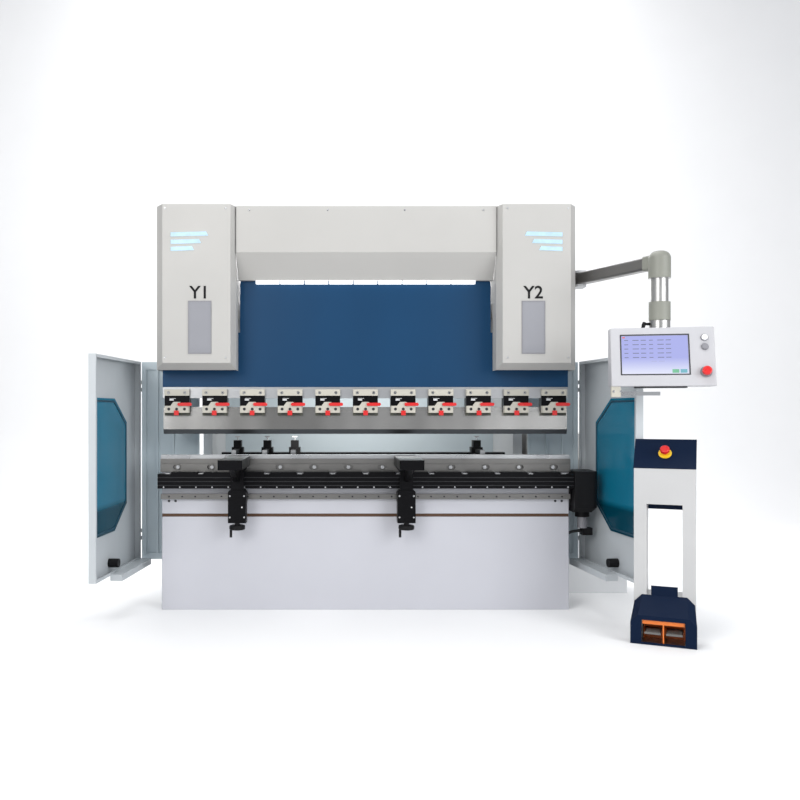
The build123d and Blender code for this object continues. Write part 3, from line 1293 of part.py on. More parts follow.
def frame_outline(inset):
    """The door's outline seen from outside, made smaller by an inset."""
    near = HINGE_SETBACK + inset
    far = HINGE_SETBACK + DOOR_LENGTH - inset
    bottom = DOOR_BOTTOM + inset
    top = DOOR_TOP - inset
    Polyline((near, bottom), (far, bottom), (far, top), (near, top), close=True)


def side_door(name):
    """A side door: folded sheet with a window pane, a bottom ledge, a latch and hinge knuckles."""
    side = side_sign(name)
    swing = radians(DOOR_OPEN[name])
    pin_x, pin_y = hinge_pin(name)
    along = Vector(side * sin(swing), -cos(swing), 0)
    inward = Vector(-side * cos(swing), -sin(swing), 0)
    up = Vector(0, 0, 1)

    def face(depth):
        """The plane at a depth behind the door's outer face, X from the hinge to the free edge."""
        start = Vector(pin_x, pin_y, 0) + inward * (HINGE_OFFSET + depth)
        return Plane(origin=start, x_dir=along, z_dir=along.cross(up))

    inward_sign = 1 if face(0).z_dir.dot(inward) > 0 else -1
    with BuildPart() as door:
        with BuildSketch(face(0)):
            with BuildLine():
                frame_outline(0)
            make_face()
            with BuildLine():
                window_outline(0)
            make_face(mode=Mode.SUBTRACT)
        extrude(amount=inward_sign * DOOR_SHEET)
        with BuildSketch(face(0)):
            with BuildLine():
                frame_outline(0)
            make_face()
            with BuildLine():
                frame_outline(DOOR_SHEET)
            make_face(mode=Mode.SUBTRACT)
        extrude(amount=inward_sign * DOOR_THICKNESS)
        with BuildSketch(face(DOOR_THICKNESS - DOOR_SHEET)):
            with BuildLine():
                frame_outline(0)
            make_face()
            with BuildLine():
                frame_outline(DOOR_LIP)
            make_face(mode=Mode.SUBTRACT)
        extrude(amount=inward_sign * DOOR_SHEET)
        with BuildSketch(face(DOOR_SHEET + DOOR_SEAL)):
            with BuildLine():
                window_outline(DOOR_PANE_LAP)
            make_face()
        extrude(amount=inward_sign * DOOR_PANE)
        with BuildSketch(face(DOOR_THICKNESS)):
            with Locations(((LEDGE_START + LEDGE_END) / 2, LEDGE_BOTTOM + LEDGE_HEIGHT / 2)):
                Rectangle(LEDGE_END - LEDGE_START, LEDGE_HEIGHT)
        extrude(amount=inward_sign * LEDGE_WIDTH)
        with BuildSketch(face(DOOR_SHEET)):
            with Locations((LATCH_ALONG, LATCH_Z)):
                Circle(LATCH_RADIUS)
        extrude(amount=inward_sign * LATCH_LENGTH)
        for level in HINGE_HEIGHTS:
            knuckle = HINGE_LENGTH / 3 - 2 * SLIDE_GAP
            low = level - knuckle / 2
            round_bar((pin_x, pin_y, low), (0, 0, 1), HINGE_RADIUS, knuckle)
            with BuildSketch(face(-HINGE_OFFSET / 2)):
                with Locations((HINGE_SETBACK + 12, level)):
                    Rectangle(2 * HINGE_SETBACK + 24, knuckle)
            extrude(amount=inward_sign * HINGE_OFFSET / 2)
            hole_radius = HINGE_PIN_RADIUS + RUNNING_GAP
            round_bar((pin_x, pin_y, low), (0, 0, 1), hole_radius, knuckle, Mode.SUBTRACT)
    door.part.label = f"{name}_door"
    export_step(door.part, f"parts/{name}_door.step")


def electrical_cabinet():
    """The cabinet beside the right frame, on its darker base."""
    width = (CABINET_LEFT, CABINET_RIGHT)
    depth = (CABINET_FRONT, CABINET_BACK)
    with BuildPart() as electrical_cabinet:
        block(width, depth, (CABINET_SPLIT, CABINET_TOP))
        fillet(electrical_cabinet.edges().filter_by(Axis.Z), CABINET_EDGE)
        base_depth = (CABINET_FRONT + 15, CABINET_BACK - 15)
        block((CABINET_LEFT + 40, CABINET_RIGHT - 20), base_depth, (0, CABINET_SPLIT))
        block((FRAME_OUTER, CABINET_LEFT), (CABINET_FRONT + 60, CABINET_BACK - 60), (700, 760))
    electrical_cabinet.part.label = "electrical_cabinet"
    export_step(electrical_cabinet.part, "parts/electrical_cabinet.step")


# ------------------------------------------------------------------ control pendant
def turned_frame(x, y, yaw):
    """A level frame whose front is turned by a yaw towards the middle of the machine."""
    turn = radians(yaw)
    return Plane(origin=(x, y, 0), x_dir=(cos(turn), -sin(turn), 0), z_dir=(0, 0, 1))


def side_view(frame, sideways):
    """The plane for a side outline in a frame: its X runs to the frame's rear and its Y up."""
    origin = frame.origin + frame.x_dir * sideways
    return Plane(origin=origin, x_dir=frame.y_dir, z_dir=frame.x_dir)


def front_view(frame, backward):
    """The plane for a front outline in a frame, facing the operator."""
    origin = frame.origin + frame.y_dir * backward
    return Plane(origin=origin, x_dir=frame.x_dir, z_dir=-frame.y_dir)


def boom():
    """The swinging boom: hub, square tube, elbow casting, drop tube and collar."""
    pivot = Vector(BOOM_PIVOT_X, BOOM_PIVOT_Y, BOOM_Z)
    elbow = Vector(ELBOW_X, ELBOW_Y, BOOM_Z)
    reach = elbow - pivot
    hub = BRACKET_ARM_WIDTH / 2
    tube_start = Plane(origin=pivot, x_dir=(0, 0, 1), z_dir=reach)
    socket = elbow - reach.normalized() * (ELBOW_RADIUS + 30)
    socket_start = Plane(origin=socket, x_dir=(0, 0, 1), z_dir=reach)
    hub_bottom = BOOM_Z - BOOM_TUBE / 2
    with BuildPart() as boom:
        elbow_height = BOOM_Z + ELBOW_RADIUS - ELBOW_BOTTOM
        round_bar((ELBOW_X, ELBOW_Y, ELBOW_BOTTOM), (0, 0, 1), ELBOW_RADIUS, elbow_height)
        fillet(boom.edges().sort_by(Axis.Z)[-1], ELBOW_ROUND)
        with BuildSketch(tube_start):
            RectangleRounded(BOOM_TUBE, BOOM_TUBE - 4, BOOM_CORNER)
        extrude(amount=reach.length)
        with BuildSketch(socket_start):
            RectangleRounded(ELBOW_SOCKET, ELBOW_SOCKET, BOOM_CORNER)
        extrude(amount=ELBOW_RADIUS + 30)
        round_bar((BOOM_PIVOT_X, BOOM_PIVOT_Y, hub_bottom), (0, 0, 1), hub, BOOM_TUBE)
        pin_radius = PIVOT_PIN_RADIUS + RUNNING_GAP
        round_bar((BOOM_PIVOT_X, BOOM_PIVOT_Y, hub_bottom), (0, 0, 1), pin_radius, BOOM_TUBE, Mode.SUBTRACT)
        drop = ELBOW_BOTTOM - DROP_TUBE_BOTTOM
        round_bar((ELBOW_X, ELBOW_Y, DROP_TUBE_BOTTOM), (0, 0, 1), DROP_TUBE_RADIUS, drop)
        collar = COLLAR_TOP - COLLAR_BOTTOM
        round_bar((ELBOW_X, ELBOW_Y, COLLAR_BOTTOM), (0, 0, 1), COLLAR_RADIUS, collar)
        spigot = (ELBOW_X, ELBOW_Y, COLLAR_BOTTOM)
        spigot_depth = SPIGOT_HEIGHT + SWIVEL_GAP
        round_bar(spigot, (0, 0, 1), SPIGOT_RADIUS + RUNNING_GAP, spigot_depth, Mode.SUBTRACT)
    boom.part.label = "boom"
    export_step(boom.part, "parts/boom.step")


def panel_frame():
    """The control panel's level frame, on the swivel axis."""
    return turned_frame(ELBOW_X, ELBOW_Y, PANEL_YAW)


def panel_face():
    """The middle of the leaning front face: X to the right, Y up the face, Z outwards."""
    frame = panel_frame()
    front = -PANEL_TOP_DEPTH / 2 - PANEL_LEAN / 2
    middle = frame.origin + frame.y_dir * front + frame.z_dir * ((PANEL_TOP + PANEL_BOTTOM) / 2)
    rise = frame.y_dir * PANEL_LEAN + frame.z_dir * (PANEL_TOP - PANEL_BOTTOM)
    return Plane(origin=middle, x_dir=frame.x_dir, z_dir=frame.x_dir.cross(rise))


def on_face(face, across, up, out):
    """A point at a place on a face and a height above it."""
    return face.origin + face.x_dir * across + face.y_dir * up + face.z_dir * out


def face_bar(face, across, up, heights, radius, mode=Mode.ADD):
    """A round bar square to a face, between two heights above it."""
    start = on_face(face, across, up, heights[0])
    round_bar(start, face.z_dir, radius, heights[1] - heights[0], mode)


def control_panel():
    """The panel's housing with its screen recess, swivel, spigot and handle."""
    frame = panel_frame()
    face = panel_face()
    top_half = PANEL_TOP_DEPTH / 2
    half = PANEL_WIDTH / 2
    with BuildPart() as control_panel:
        with BuildSketch(side_view(frame, -half)):
            with BuildLine():
                Polyline(
                    (-top_half, PANEL_TOP),
                    (-top_half - PANEL_LEAN, PANEL_BOTTOM),
                    (top_half - PANEL_BACK_LEAN, PANEL_BOTTOM),
                    (top_half, PANEL_TOP),
                    close=True,
                )
            make_face()
        extrude(amount=PANEL_WIDTH)
        fillet(control_panel.edges(), PANEL_CORNER / 2)
        with BuildSketch(face):
            with Locations((SCREEN_X, SCREEN_Z)):
                Rectangle(SCREEN_WIDTH, SCREEN_HEIGHT)
        extrude(amount=-SCREEN_SINK, mode=Mode.SUBTRACT)
        for height in BUTTON_HEIGHTS.values():
            hole = BUTTON_STEM_RADIUS + RUNNING_GAP
            face_bar(face, BUTTON_X, height, (-BUTTON_HOLE, 0), hole, Mode.SUBTRACT)
        stop_hole = ESTOP_STEM_RADIUS + RUNNING_GAP
        face_bar(face, BUTTON_X, PANEL_ESTOP_Z, (-BUTTON_HOLE, 0), stop_hole, Mode.SUBTRACT)
        axis_foot = (ELBOW_X, ELBOW_Y, PANEL_TOP - 2)
        swivel = COLLAR_BOTTOM - SWIVEL_GAP - PANEL_TOP + 2
        round_bar(axis_foot, (0, 0, 1), SWIVEL_RADIUS, swivel)
        round_bar(axis_foot, (0, 0, 1), SPIGOT_RADIUS, swivel + SWIVEL_GAP + SPIGOT_HEIGHT - 2)
        handle_y = (-top_half - PANEL_LEAN + 8, -top_half - PANEL_LEAN + 8 + HANDLE_BLOCK)
        with Locations(frame):
            drop = (PANEL_BOTTOM - HANDLE_DROP, PANEL_BOTTOM + 2)
            block((-half, -half + HANDLE_BLOCK), handle_y, drop)
            bar_z = (PANEL_BOTTOM - HANDLE_DROP + 8, PANEL_BOTTOM - HANDLE_DROP + 8 + HANDLE_BAR)
            bar_x = (-half + HANDLE_BLOCK, -half + HANDLE_BLOCK + HANDLE_BAR_LENGTH)
            block(bar_x, (handle_y[0] + 10, handle_y[0] + 10 + HANDLE_BAR), bar_z)
    control_panel.part.label = "control_panel"
    export_step(control_panel.part, "parts/control_panel.step")


def panel_buttons():
    """The two push buttons of the panel."""
    face = panel_face()
    for name, height in BUTTON_HEIGHTS.items():
        with BuildPart() as button:
            face_bar(face, BUTTON_X, height, BUTTON_HEAD, BUTTON_RADIUS)
            stem = (-BUTTON_HOLE / 2, BUTTON_HEAD[0])
            face_bar(face, BUTTON_X, height, stem, BUTTON_STEM_RADIUS)
        button.part.label = f"{name}_button"
        export_step(button.part, f"parts/{name}_button.step")


def mushroom(name, face, across, up, lift):
    """An emergency-stop mushroom head on its stem, lifted by the height of its ring."""
    with BuildPart() as stop:
        head = (ESTOP_HEAD[0] + lift, ESTOP_HEAD[1] + lift)
        face_bar(face, across, up, head, ESTOP_RADIUS)
        fillet(stop.edges().filter_by(GeomType.CIRCLE), 6)
        face_bar(face, across, up, (ESTOP_STEM_START, head[0]), ESTOP_STEM_RADIUS)
    stop.part.label = name
    export_step(stop.part, f"parts/{name}.step")


# ------------------------------------------------------------------ pedestal
def pedestal_frame():
    """The pedestal's level frame, at the middle of the foot of its column's front."""
    return turned_frame(PEDESTAL_X, PEDESTAL_Y, PEDESTAL_YAW)


def column_outline(inset):
    """The column's side outline, sloping up to the rear, made smaller by an inset."""
    back = COLUMN_DEPTH - COLUMN_SHEET
    slope = CAP_RISE / COLUMN_DEPTH
    Polyline(
        (inset, 0),
        (back, 0),
        (back, COLUMN_TOP + slope * back - inset),
        (inset, COLUMN_TOP + slope * inset - inset),
        close=True,
    )


def pedestal_column():
    """The light column: folded sheet with a tall lined opening and a low one for the pedals."""
    frame = pedestal_frame()
    half = COLUMN_WIDTH / 2
    sheet = COLUMN_SHEET
    opening = COLUMN_OPENING_WIDTH
    depth = (-1, COLUMN_DEPTH - sheet)
    with BuildPart() as pedestal_column:
        with BuildSketch(side_view(frame, -half)):
            with BuildLine():
                column_outline(0)
            make_face()
        extrude(amount=COLUMN_WIDTH)
        with BuildSketch(side_view(frame, -half + sheet)):
            with BuildLine():
                column_outline(sheet)
            make_face()
        extrude(amount=COLUMN_WIDTH - 2 * sheet, mode=Mode.SUBTRACT)
        with Locations(frame):
            lining = (COLUMN_OPENING_BOTTOM - sheet, COLUMN_OPENING_TOP + sheet)
            block(about(0, opening + 2 * sheet), (sheet, depth[1]), lining)
            block(about(0, opening), depth, (COLUMN_OPENING_BOTTOM, COLUMN_OPENING_TOP), Mode.SUBTRACT)
            block(about(0, COLUMN_BASE_WIDTH), depth, (-1, COLUMN_BASE_HEIGHT), Mode.SUBTRACT)
        stem_hole = ESTOP_STEM_RADIUS + RUNNING_GAP
        face_bar(cap_face(), 0, 0, (-2 * CAP_SHEET - sheet, 0), stem_hole, Mode.SUBTRACT)
    pedestal_column.part.label = "pedestal_column"
    export_step(pedestal_column.part, "parts/pedestal_column.step")


def cap_face():
    """The middle of the cap's sloping top."""
    frame = pedestal_frame()
    rise = frame.y_dir * COLUMN_DEPTH + frame.z_dir * CAP_RISE
    normal = frame.x_dir.cross(rise).normalized()
    middle = frame.origin + frame.y_dir * (COLUMN_DEPTH / 2) + frame.z_dir * (COLUMN_TOP + CAP_RISE / 2)
    return Plane(origin=middle + normal * CAP_SHEET, x_dir=frame.x_dir, z_dir=normal)


def pedestal_cap():
    """The dark cap on the column with its back plate and the stop button's yellow ring."""
    frame = pedestal_frame()
    face = cap_face()
    slope_length = (COLUMN_DEPTH**2 + CAP_RISE**2) ** 0.5
    half_opening = COLUMN_OPENING_WIDTH / 2
    half = COLUMN_WIDTH / 2
    back = (COLUMN_DEPTH - COLUMN_SHEET, COLUMN_DEPTH)
    with BuildPart() as pedestal_cap:
        with BuildSketch(face):
            Rectangle(COLUMN_WIDTH + 2 * CAP_OVERHANG, slope_length)
        extrude(amount=-CAP_SHEET)
        with Locations(frame):
            block((-half, half), back, (0, COLUMN_TOP + CAP_RISE - 1))
            opening = (COLUMN_OPENING_BOTTOM, COLUMN_REAR_TOP)
            block((-half_opening, half_opening), back, opening, Mode.SUBTRACT)
        face_bar(face, 0, 0, (0, ESTOP_RING), ESTOP_RING_RADIUS)
        stem_hole = ESTOP_STEM_RADIUS + RUNNING_GAP
        face_bar(face, 0, 0, (-CAP_SHEET - 1, ESTOP_RING), stem_hole, Mode.SUBTRACT)
    pedestal_cap.part.label = "pedestal_cap"
    export_step(pedestal_cap.part, "parts/pedestal_cap.step")


def hood_outline(width, height, chamfer_size):
    """Front view of the pedal hood: a box whose upper corners are cut off."""
    half = width / 2
    Polyline(
        (-half, 0),
        (half, 0),
        (half, height - chamfer_size),
        (half - chamfer_size, height),
        (chamfer_size - half, height),
        (-half, height - chamfer_size),
        close=True,
    )


def pedal_guard():
    """The hood over the pedals, open below and behind, with its mouth and its neck plate."""
    frame = pedestal_frame()
    wall = HOOD_SHEET
    with BuildPart() as pedal_guard:
        for backward, width, height in (
            (-HOOD_LENGTH, HOOD_WIDTH, HOOD_FRONT_HEIGHT),
            (0, HOOD_REAR_WIDTH, HOOD_REAR_HEIGHT),
        ):
            with BuildSketch(front_view(frame, backward)):
                with BuildLine():
                    hood_outline(width, height, HOOD_CHAMFER)
                make_face()
        loft()
        for backward, width, height in (
            (wall - HOOD_LENGTH, HOOD_WIDTH - 2 * wall, HOOD_FRONT_HEIGHT - wall),
            (0, HOOD_REAR_WIDTH - 2 * wall, HOOD_REAR_HEIGHT - wall),
        ):
            with BuildSketch(front_view(frame, backward)):
                with BuildLine():
                    hood_outline(width, height, HOOD_CHAMFER - wall / 2)
                make_face()
        loft(mode=Mode.SUBTRACT)
        with Locations(frame):
            mouth = (HOOD_MOUTH_BOTTOM, HOOD_MOUTH_TOP)
            front = (-HOOD_LENGTH - 1, wall - HOOD_LENGTH + 1)
            block(about(0, HOOD_MOUTH_WIDTH), front, mouth, Mode.SUBTRACT)
            block(about(0, HOOD_NECK_WIDTH), (-wall, 0), (HOOD_REAR_HEIGHT - 4 * wall, HOOD_NECK_TOP))
    pedal_guard.part.label = "pedal_guard"
    export_step(pedal_guard.part, "parts/pedal_guard.step")


def foot_switch():
    """The foot switch: base, orange housing with a canopy, divider and the pedals' axle."""
    frame = pedestal_frame()
    width = about(0, SWITCH_WIDTH)
    with BuildPart() as foot_switch:
        with Locations(frame):
            block(width, (SWITCH_FRONT, SWITCH_BACK), (0, SWITCH_BASE))
            block(width, (SWITCH_BODY_FRONT, SWITCH_BACK), (SWITCH_BASE, SWITCH_TOP))
            block(width, (SWITCH_FRONT, SWITCH_BODY_FRONT), (SWITCH_CANOPY_BOTTOM, SWITCH_TOP))
            divider = about(0, SWITCH_DIVIDER)
            block(divider, (SWITCH_FRONT, SWITCH_BODY_FRONT), (SWITCH_BASE, SWITCH_CANOPY_BOTTOM))
            cheek = 4.0
            for side in SIDES:
                cheek_x = beside(side, SWITCH_WIDTH / 2 - cheek, SWITCH_WIDTH / 2)
                block(cheek_x, (-10, SWITCH_BODY_FRONT), (SWITCH_BASE, SWITCH_CANOPY_BOTTOM))
        axle_foot = on_axle(frame, -SWITCH_WIDTH / 2)
        round_bar(axle_foot, frame.x_dir, PEDAL_AXLE_RADIUS, SWITCH_WIDTH)
    foot_switch.part.label = "foot_switch"
    export_step(foot_switch.part, "parts/foot_switch.step")


def on_axle(frame, sideways):
    """A point on the pedals' axle."""
    return frame.origin + frame.x_dir * sideways + frame.y_dir * PEDAL_AXLE_Y + Vector(0, 0, PEDAL_AXLE_Z)


def pedals():
    """Two ribbed pedals on one axle."""
    frame = pedestal_frame()
    half = PEDAL_WIDTH / 2
    top = PEDAL_AXLE_Z + PEDAL_THICKNESS / 2
    for name in ("left", "right"):
        middle = side_sign(name) * PEDAL_X
        with BuildPart() as pedal:
            with Locations(frame):
                plate_z = (PEDAL_AXLE_Z - PEDAL_THICKNESS / 2, top)
                block((middle - half, middle + half), (PEDAL_FRONT, PEDAL_AXLE_Y), plate_z)
                for number in range(8):
                    rib = PEDAL_FRONT + 6 + 10 * number
                    block((middle - half + 4, middle + half - 4), (rib, rib + 4), (top, top + 2))
            round_bar(on_axle(frame, middle - half), frame.x_dir, PEDAL_HUB_RADIUS, PEDAL_WIDTH)
            hole = PEDAL_AXLE_RADIUS + RUNNING_GAP
            round_bar(on_axle(frame, middle - half), frame.x_dir, hole, PEDAL_WIDTH, Mode.SUBTRACT)
        pedal.part.label = f"{name}_pedal"
        export_step(pedal.part, f"parts/{name}_pedal.step")


# ------------------------------------------------------------------ the whole machine
side_frames()
frame_ties_and_gibs()
boom_bracket()
bed_beam()
crowning_table()
table_bolts()
vee_die()
front_beam()
guide_rail()
drive_box()
drive_cable()
cylinder_covers()
upper_cover()
light_bars()
hydraulics()
guard_panels()
electrical_cabinet()
gauge_rails()
pedestal_column()
pedestal_cap()
pedal_guard()
foot_switch()
ram_beam()
piston_rods()
clamp_bodies()
clamp_plates()
clamp_levers()
punches()
gauge_carriage()
gauge_beam()
gauge_fingers()
for side_name, support_x in SUPPORT_PLACES.items():
    support_carriage(f"{side_name}_support_carriage", support_x)
    support_arm(f"{side_name}_support_arm", support_x)
    support_wheel(f"{side_name}_support_wheel", support_x)
    side_door(side_name)
boom()
control_panel()
panel_buttons()
mushroom("panel_estop", panel_face(), BUTTON_X, PANEL_ESTOP_Z, 0)
mushroom("pedestal_estop", cap_face(), 0, 0, ESTOP_RING)
pedals()
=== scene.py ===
"""Press brake finishes, details and studio.

Paints the machine's frame pieces with procedural materials, adds the small
detail pieces and the lead, and sets up a soft studio with one camera.
"""

from math import cos, pi, radians, sin

import bmesh
import bpy
from bpy.props import FloatProperty, FloatVectorProperty, PointerProperty
from mathutils import Matrix, Vector


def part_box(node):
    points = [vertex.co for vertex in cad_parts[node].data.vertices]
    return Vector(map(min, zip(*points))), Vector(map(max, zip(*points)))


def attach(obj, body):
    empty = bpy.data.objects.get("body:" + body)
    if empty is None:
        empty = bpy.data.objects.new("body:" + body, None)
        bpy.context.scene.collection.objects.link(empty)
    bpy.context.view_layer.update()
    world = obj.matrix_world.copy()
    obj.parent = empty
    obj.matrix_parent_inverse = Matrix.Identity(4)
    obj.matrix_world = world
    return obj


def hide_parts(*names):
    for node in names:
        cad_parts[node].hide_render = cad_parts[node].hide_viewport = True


bl_info = {
    "name": "Press Brake",
    "version": (1, 0, 0),
    "blender": (4, 5, 0),
    "location": "View3D > Sidebar > Press Brake",
    "description": "Finishes, details, lead and studio of a press brake",
    "category": "Object",
}

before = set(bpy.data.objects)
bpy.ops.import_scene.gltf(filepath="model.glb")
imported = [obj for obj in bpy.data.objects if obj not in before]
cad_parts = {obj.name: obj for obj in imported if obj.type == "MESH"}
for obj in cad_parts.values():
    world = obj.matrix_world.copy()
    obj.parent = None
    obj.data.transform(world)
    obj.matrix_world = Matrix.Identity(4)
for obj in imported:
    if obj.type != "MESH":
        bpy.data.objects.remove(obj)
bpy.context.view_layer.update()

FLOOR_COLOUR = (0.88, 0.88, 0.88)
HINGE_Y = 0.262
DOORS = (("left", -1, -1.486, 5), ("right", 1, 1.438, 6))
CLAMP_PLACES = [(number - 5) * 0.231 for number in range(11)]
SUPPORT_PLACES = {"left": -0.775, "right": 0.243}
# Each lamp: name, place, aim, size, share of the lamp power, tone.
LAMPS = (
    ("key", (-3.6, -6.0, 3.6), (0.0, 0.0, 1.2), 3.2, 0.85, (1.0, 0.99, 0.97)),
    ("fill", (4.6, -5.0, 2.8), (0.3, 0.0, 1.1), 3.4, 0.85, (0.98, 0.99, 1.0)),
    ("top", (0.0, -0.6, 5.2), (0.0, 0.3, 1.0), 4.0, 0.55, (1.0, 1.0, 1.0)),
    ("back", (0.0, 4.4, 3.6), (0.0, 1.0, 1.1), 2.6, 0.5, (1.0, 1.0, 1.0)),
    ("gauge", (0.0, 0.42, 1.36), (0.0, 1.15, 0.95), 1.0, 0.035, (1.0, 0.98, 0.95)),
    ("wall", (0.0, 3.2, 7.0), (0.0, 5.5, 3.4), 4.0, 0.8, (1.0, 1.0, 1.0)),
)
CAMERA_PLACE = (-0.2, -5.3, 1.217)
CAMERA_LENS = 38.6
LEAD_ROUTE = (
    (1.350, 0.062, 0.470),
    (1.300, 0.062, 0.470),
    (1.262, 0.064, 0.448),
    (1.236, 0.078, 0.405),
    (1.196, 0.104, 0.366),
    (1.140, 0.126, 0.350),
    (1.092, 0.126, 0.350),
)


def colour(name, text, value):
    """A colour setting with a default in linear RGB."""
    return FloatVectorProperty(
        name=name, description=text, subtype="COLOR", size=3, min=0, max=1, default=value
    )


class PressBrakeSettings(bpy.types.PropertyGroup):
    """Colours and sizes that the operators read."""

    cover_colour: colour("Covers", "Paint of the cylinder covers", (0.42, 0.413, 0.396))
    bed_colour: colour("Bed", "Paint of the bed plate", (0.485, 0.49, 0.53))
    frame_colour: colour("Frame", "Paint of frames and guards", (0.56, 0.57, 0.58))
    ram_colour: colour("Ram", "Paint of the ram", (0.003, 0.040, 0.105))
    door_colour: colour("Doors", "Paint of the side doors", (0.46, 0.49, 0.51))
    pane_colour: colour("Panes", "Tint of the door panes", (0.002, 0.150, 0.250))
    cream_colour: colour("Clamp plates", "Paint of the clamp plates", (0.47, 0.45, 0.39))
    navy_colour: colour("Navy", "Paint of the pedestal's cap and hood", (0.003, 0.010, 0.031))
    column_colour: colour("Column", "Paint of the pedestal's column", (0.48, 0.48, 0.48))
    panel_colour: colour("Panel", "Paint of the control panel", (0.45, 0.45, 0.47))
    orange_colour: colour("Foot switch", "Paint of the foot switch", (0.72, 0.17, 0.02))
    edge_round: FloatProperty(
        name="Edge rounding",
        description="How far light rounds the sheet-metal edges",
        default=0.0016,
        min=0.0,
        unit="LENGTH",
    )
    lead_diameter: FloatProperty(
        name="Lead diameter",
        description="Thickness of the drive's lead",
        default=0.018,
        min=0.001,
        unit="LENGTH",
    )
    lamp_power: FloatProperty(
        name="Lamp power", description="Power of the main soft lamp", default=250.0, min=0.0
    )
    glow: FloatProperty(
        name="Glow", description="Strength of the machine's own lights", default=2.2, min=0.0
    )


def settings():
    """The scene's settings."""
    return bpy.context.scene.press_brake


# ---------------------------------------------------------------- materials
def new_material(name):
    """An empty node material with its output and its shader."""
    material = bpy.data.materials.new(name)
    material.use_nodes = True
    shader = material.node_tree.nodes["Principled BSDF"]
    return material, material.node_tree.nodes, material.node_tree.links, shader


def noise(nodes, links, scale, detail=3.0, stretch=(1, 1, 1)):
    """A noise texture in the machine's own coordinates, stretched along an axis."""
    place = nodes.new("ShaderNodeTexCoord")
    mapping = nodes.new("ShaderNodeMapping")
    mapping.inputs["Scale"].default_value = stretch
    texture = nodes.new("ShaderNodeTexNoise")
    texture.inputs["Scale"].default_value = scale
    texture.inputs["Detail"].default_value = detail
    links.new(place.outputs["Object"], mapping.inputs["Vector"])
    links.new(mapping.outputs["Vector"], texture.inputs["Vector"])
    return texture


def spread(nodes, links, source, low, high):
    """Maps a 0 to 1 texture to a range."""
    span = nodes.new("ShaderNodeMapRange")
    span.inputs["From Min"].default_value = 0.3
    span.inputs["From Max"].default_value = 0.7
    span.inputs["To Min"].default_value = low
    span.inputs["To Max"].default_value = high
    links.new(source, span.inputs["Value"])
    return span.outputs["Result"]


def tinted(nodes, links, source, first, second):
    """A colour between two, by a texture."""
    mix = nodes.new("ShaderNodeMix")
    mix.data_type = "RGBA"
    mix.inputs[6].default_value = (*first, 1)
    mix.inputs[7].default_value = (*second, 1)
    links.new(source, mix.inputs[0])
    return mix.outputs[2]


def relief(nodes, links, shader, height, strength, distance, rounding):
    """Small bumps on top of softly rounded edges."""
    bump = nodes.new("ShaderNodeBump")
    bump.inputs["Strength"].default_value = strength
    bump.inputs["Distance"].default_value = distance
    links.new(height, bump.inputs["Height"])
    if rounding > 0:
        bevel = nodes.new("ShaderNodeBevel")
        bevel.samples = 4
        bevel.inputs["Radius"].default_value = rounding
        links.new(bevel.outputs["Normal"], bump.inputs["Normal"])
    links.new(bump.outputs["Normal"], shader.inputs["Normal"])


def shade(value, factor):
    """A colour made darker or lighter."""
    return tuple(min(1.0, part * factor) for part in value)


def paint(name, value, rough=0.42, grain=700.0, depth=0.10, vary=0.07, shine=0.5):
    """Sprayed paint: faint blotches, fine orange-peel and uneven gloss."""
    material, nodes, links, shader = new_material(name)
    shader.inputs["Specular IOR Level"].default_value = shine
    blotch = noise(nodes, links, 2.2, 5.0)
    links.new(
        tinted(nodes, links, blotch.outputs["Fac"], shade(value, 1 - vary), shade(value, 1 + vary)),
        shader.inputs["Base Color"],
    )
    smear = noise(nodes, links, 9.0, 6.0)
    uneven = spread(nodes, links, smear.outputs["Fac"], rough - 0.05, rough + 0.08)
    links.new(uneven, shader.inputs["Roughness"])
    peel = noise(nodes, links, grain, 2.0)
    relief(nodes, links, shader, peel.outputs["Fac"], depth, 0.0006, settings().edge_round)
    return material


def metal(name, value, rough=0.3, stretch=(0.03, 1, 1), lines=900.0, vary=0.12, depth=0.12):
    """Ground or brushed metal, its lines along the stretched axis."""
    material, nodes, links, shader = new_material(name)
    shader.inputs["Metallic"].default_value = 1.0
    brush = noise(nodes, links, lines, 3.0, stretch)
    links.new(
        tinted(nodes, links, brush.outputs["Fac"], shade(value, 1 - vary), shade(value, 1 + vary)),
        shader.inputs["Base Color"],
    )
    smear = noise(nodes, links, 6.0, 6.0)
    uneven = spread(nodes, links, smear.outputs["Fac"], rough - 0.06, rough + 0.10)
    links.new(uneven, shader.inputs["Roughness"])
    relief(nodes, links, shader, brush.outputs["Fac"], depth, 0.0004, settings().edge_round)
    return material


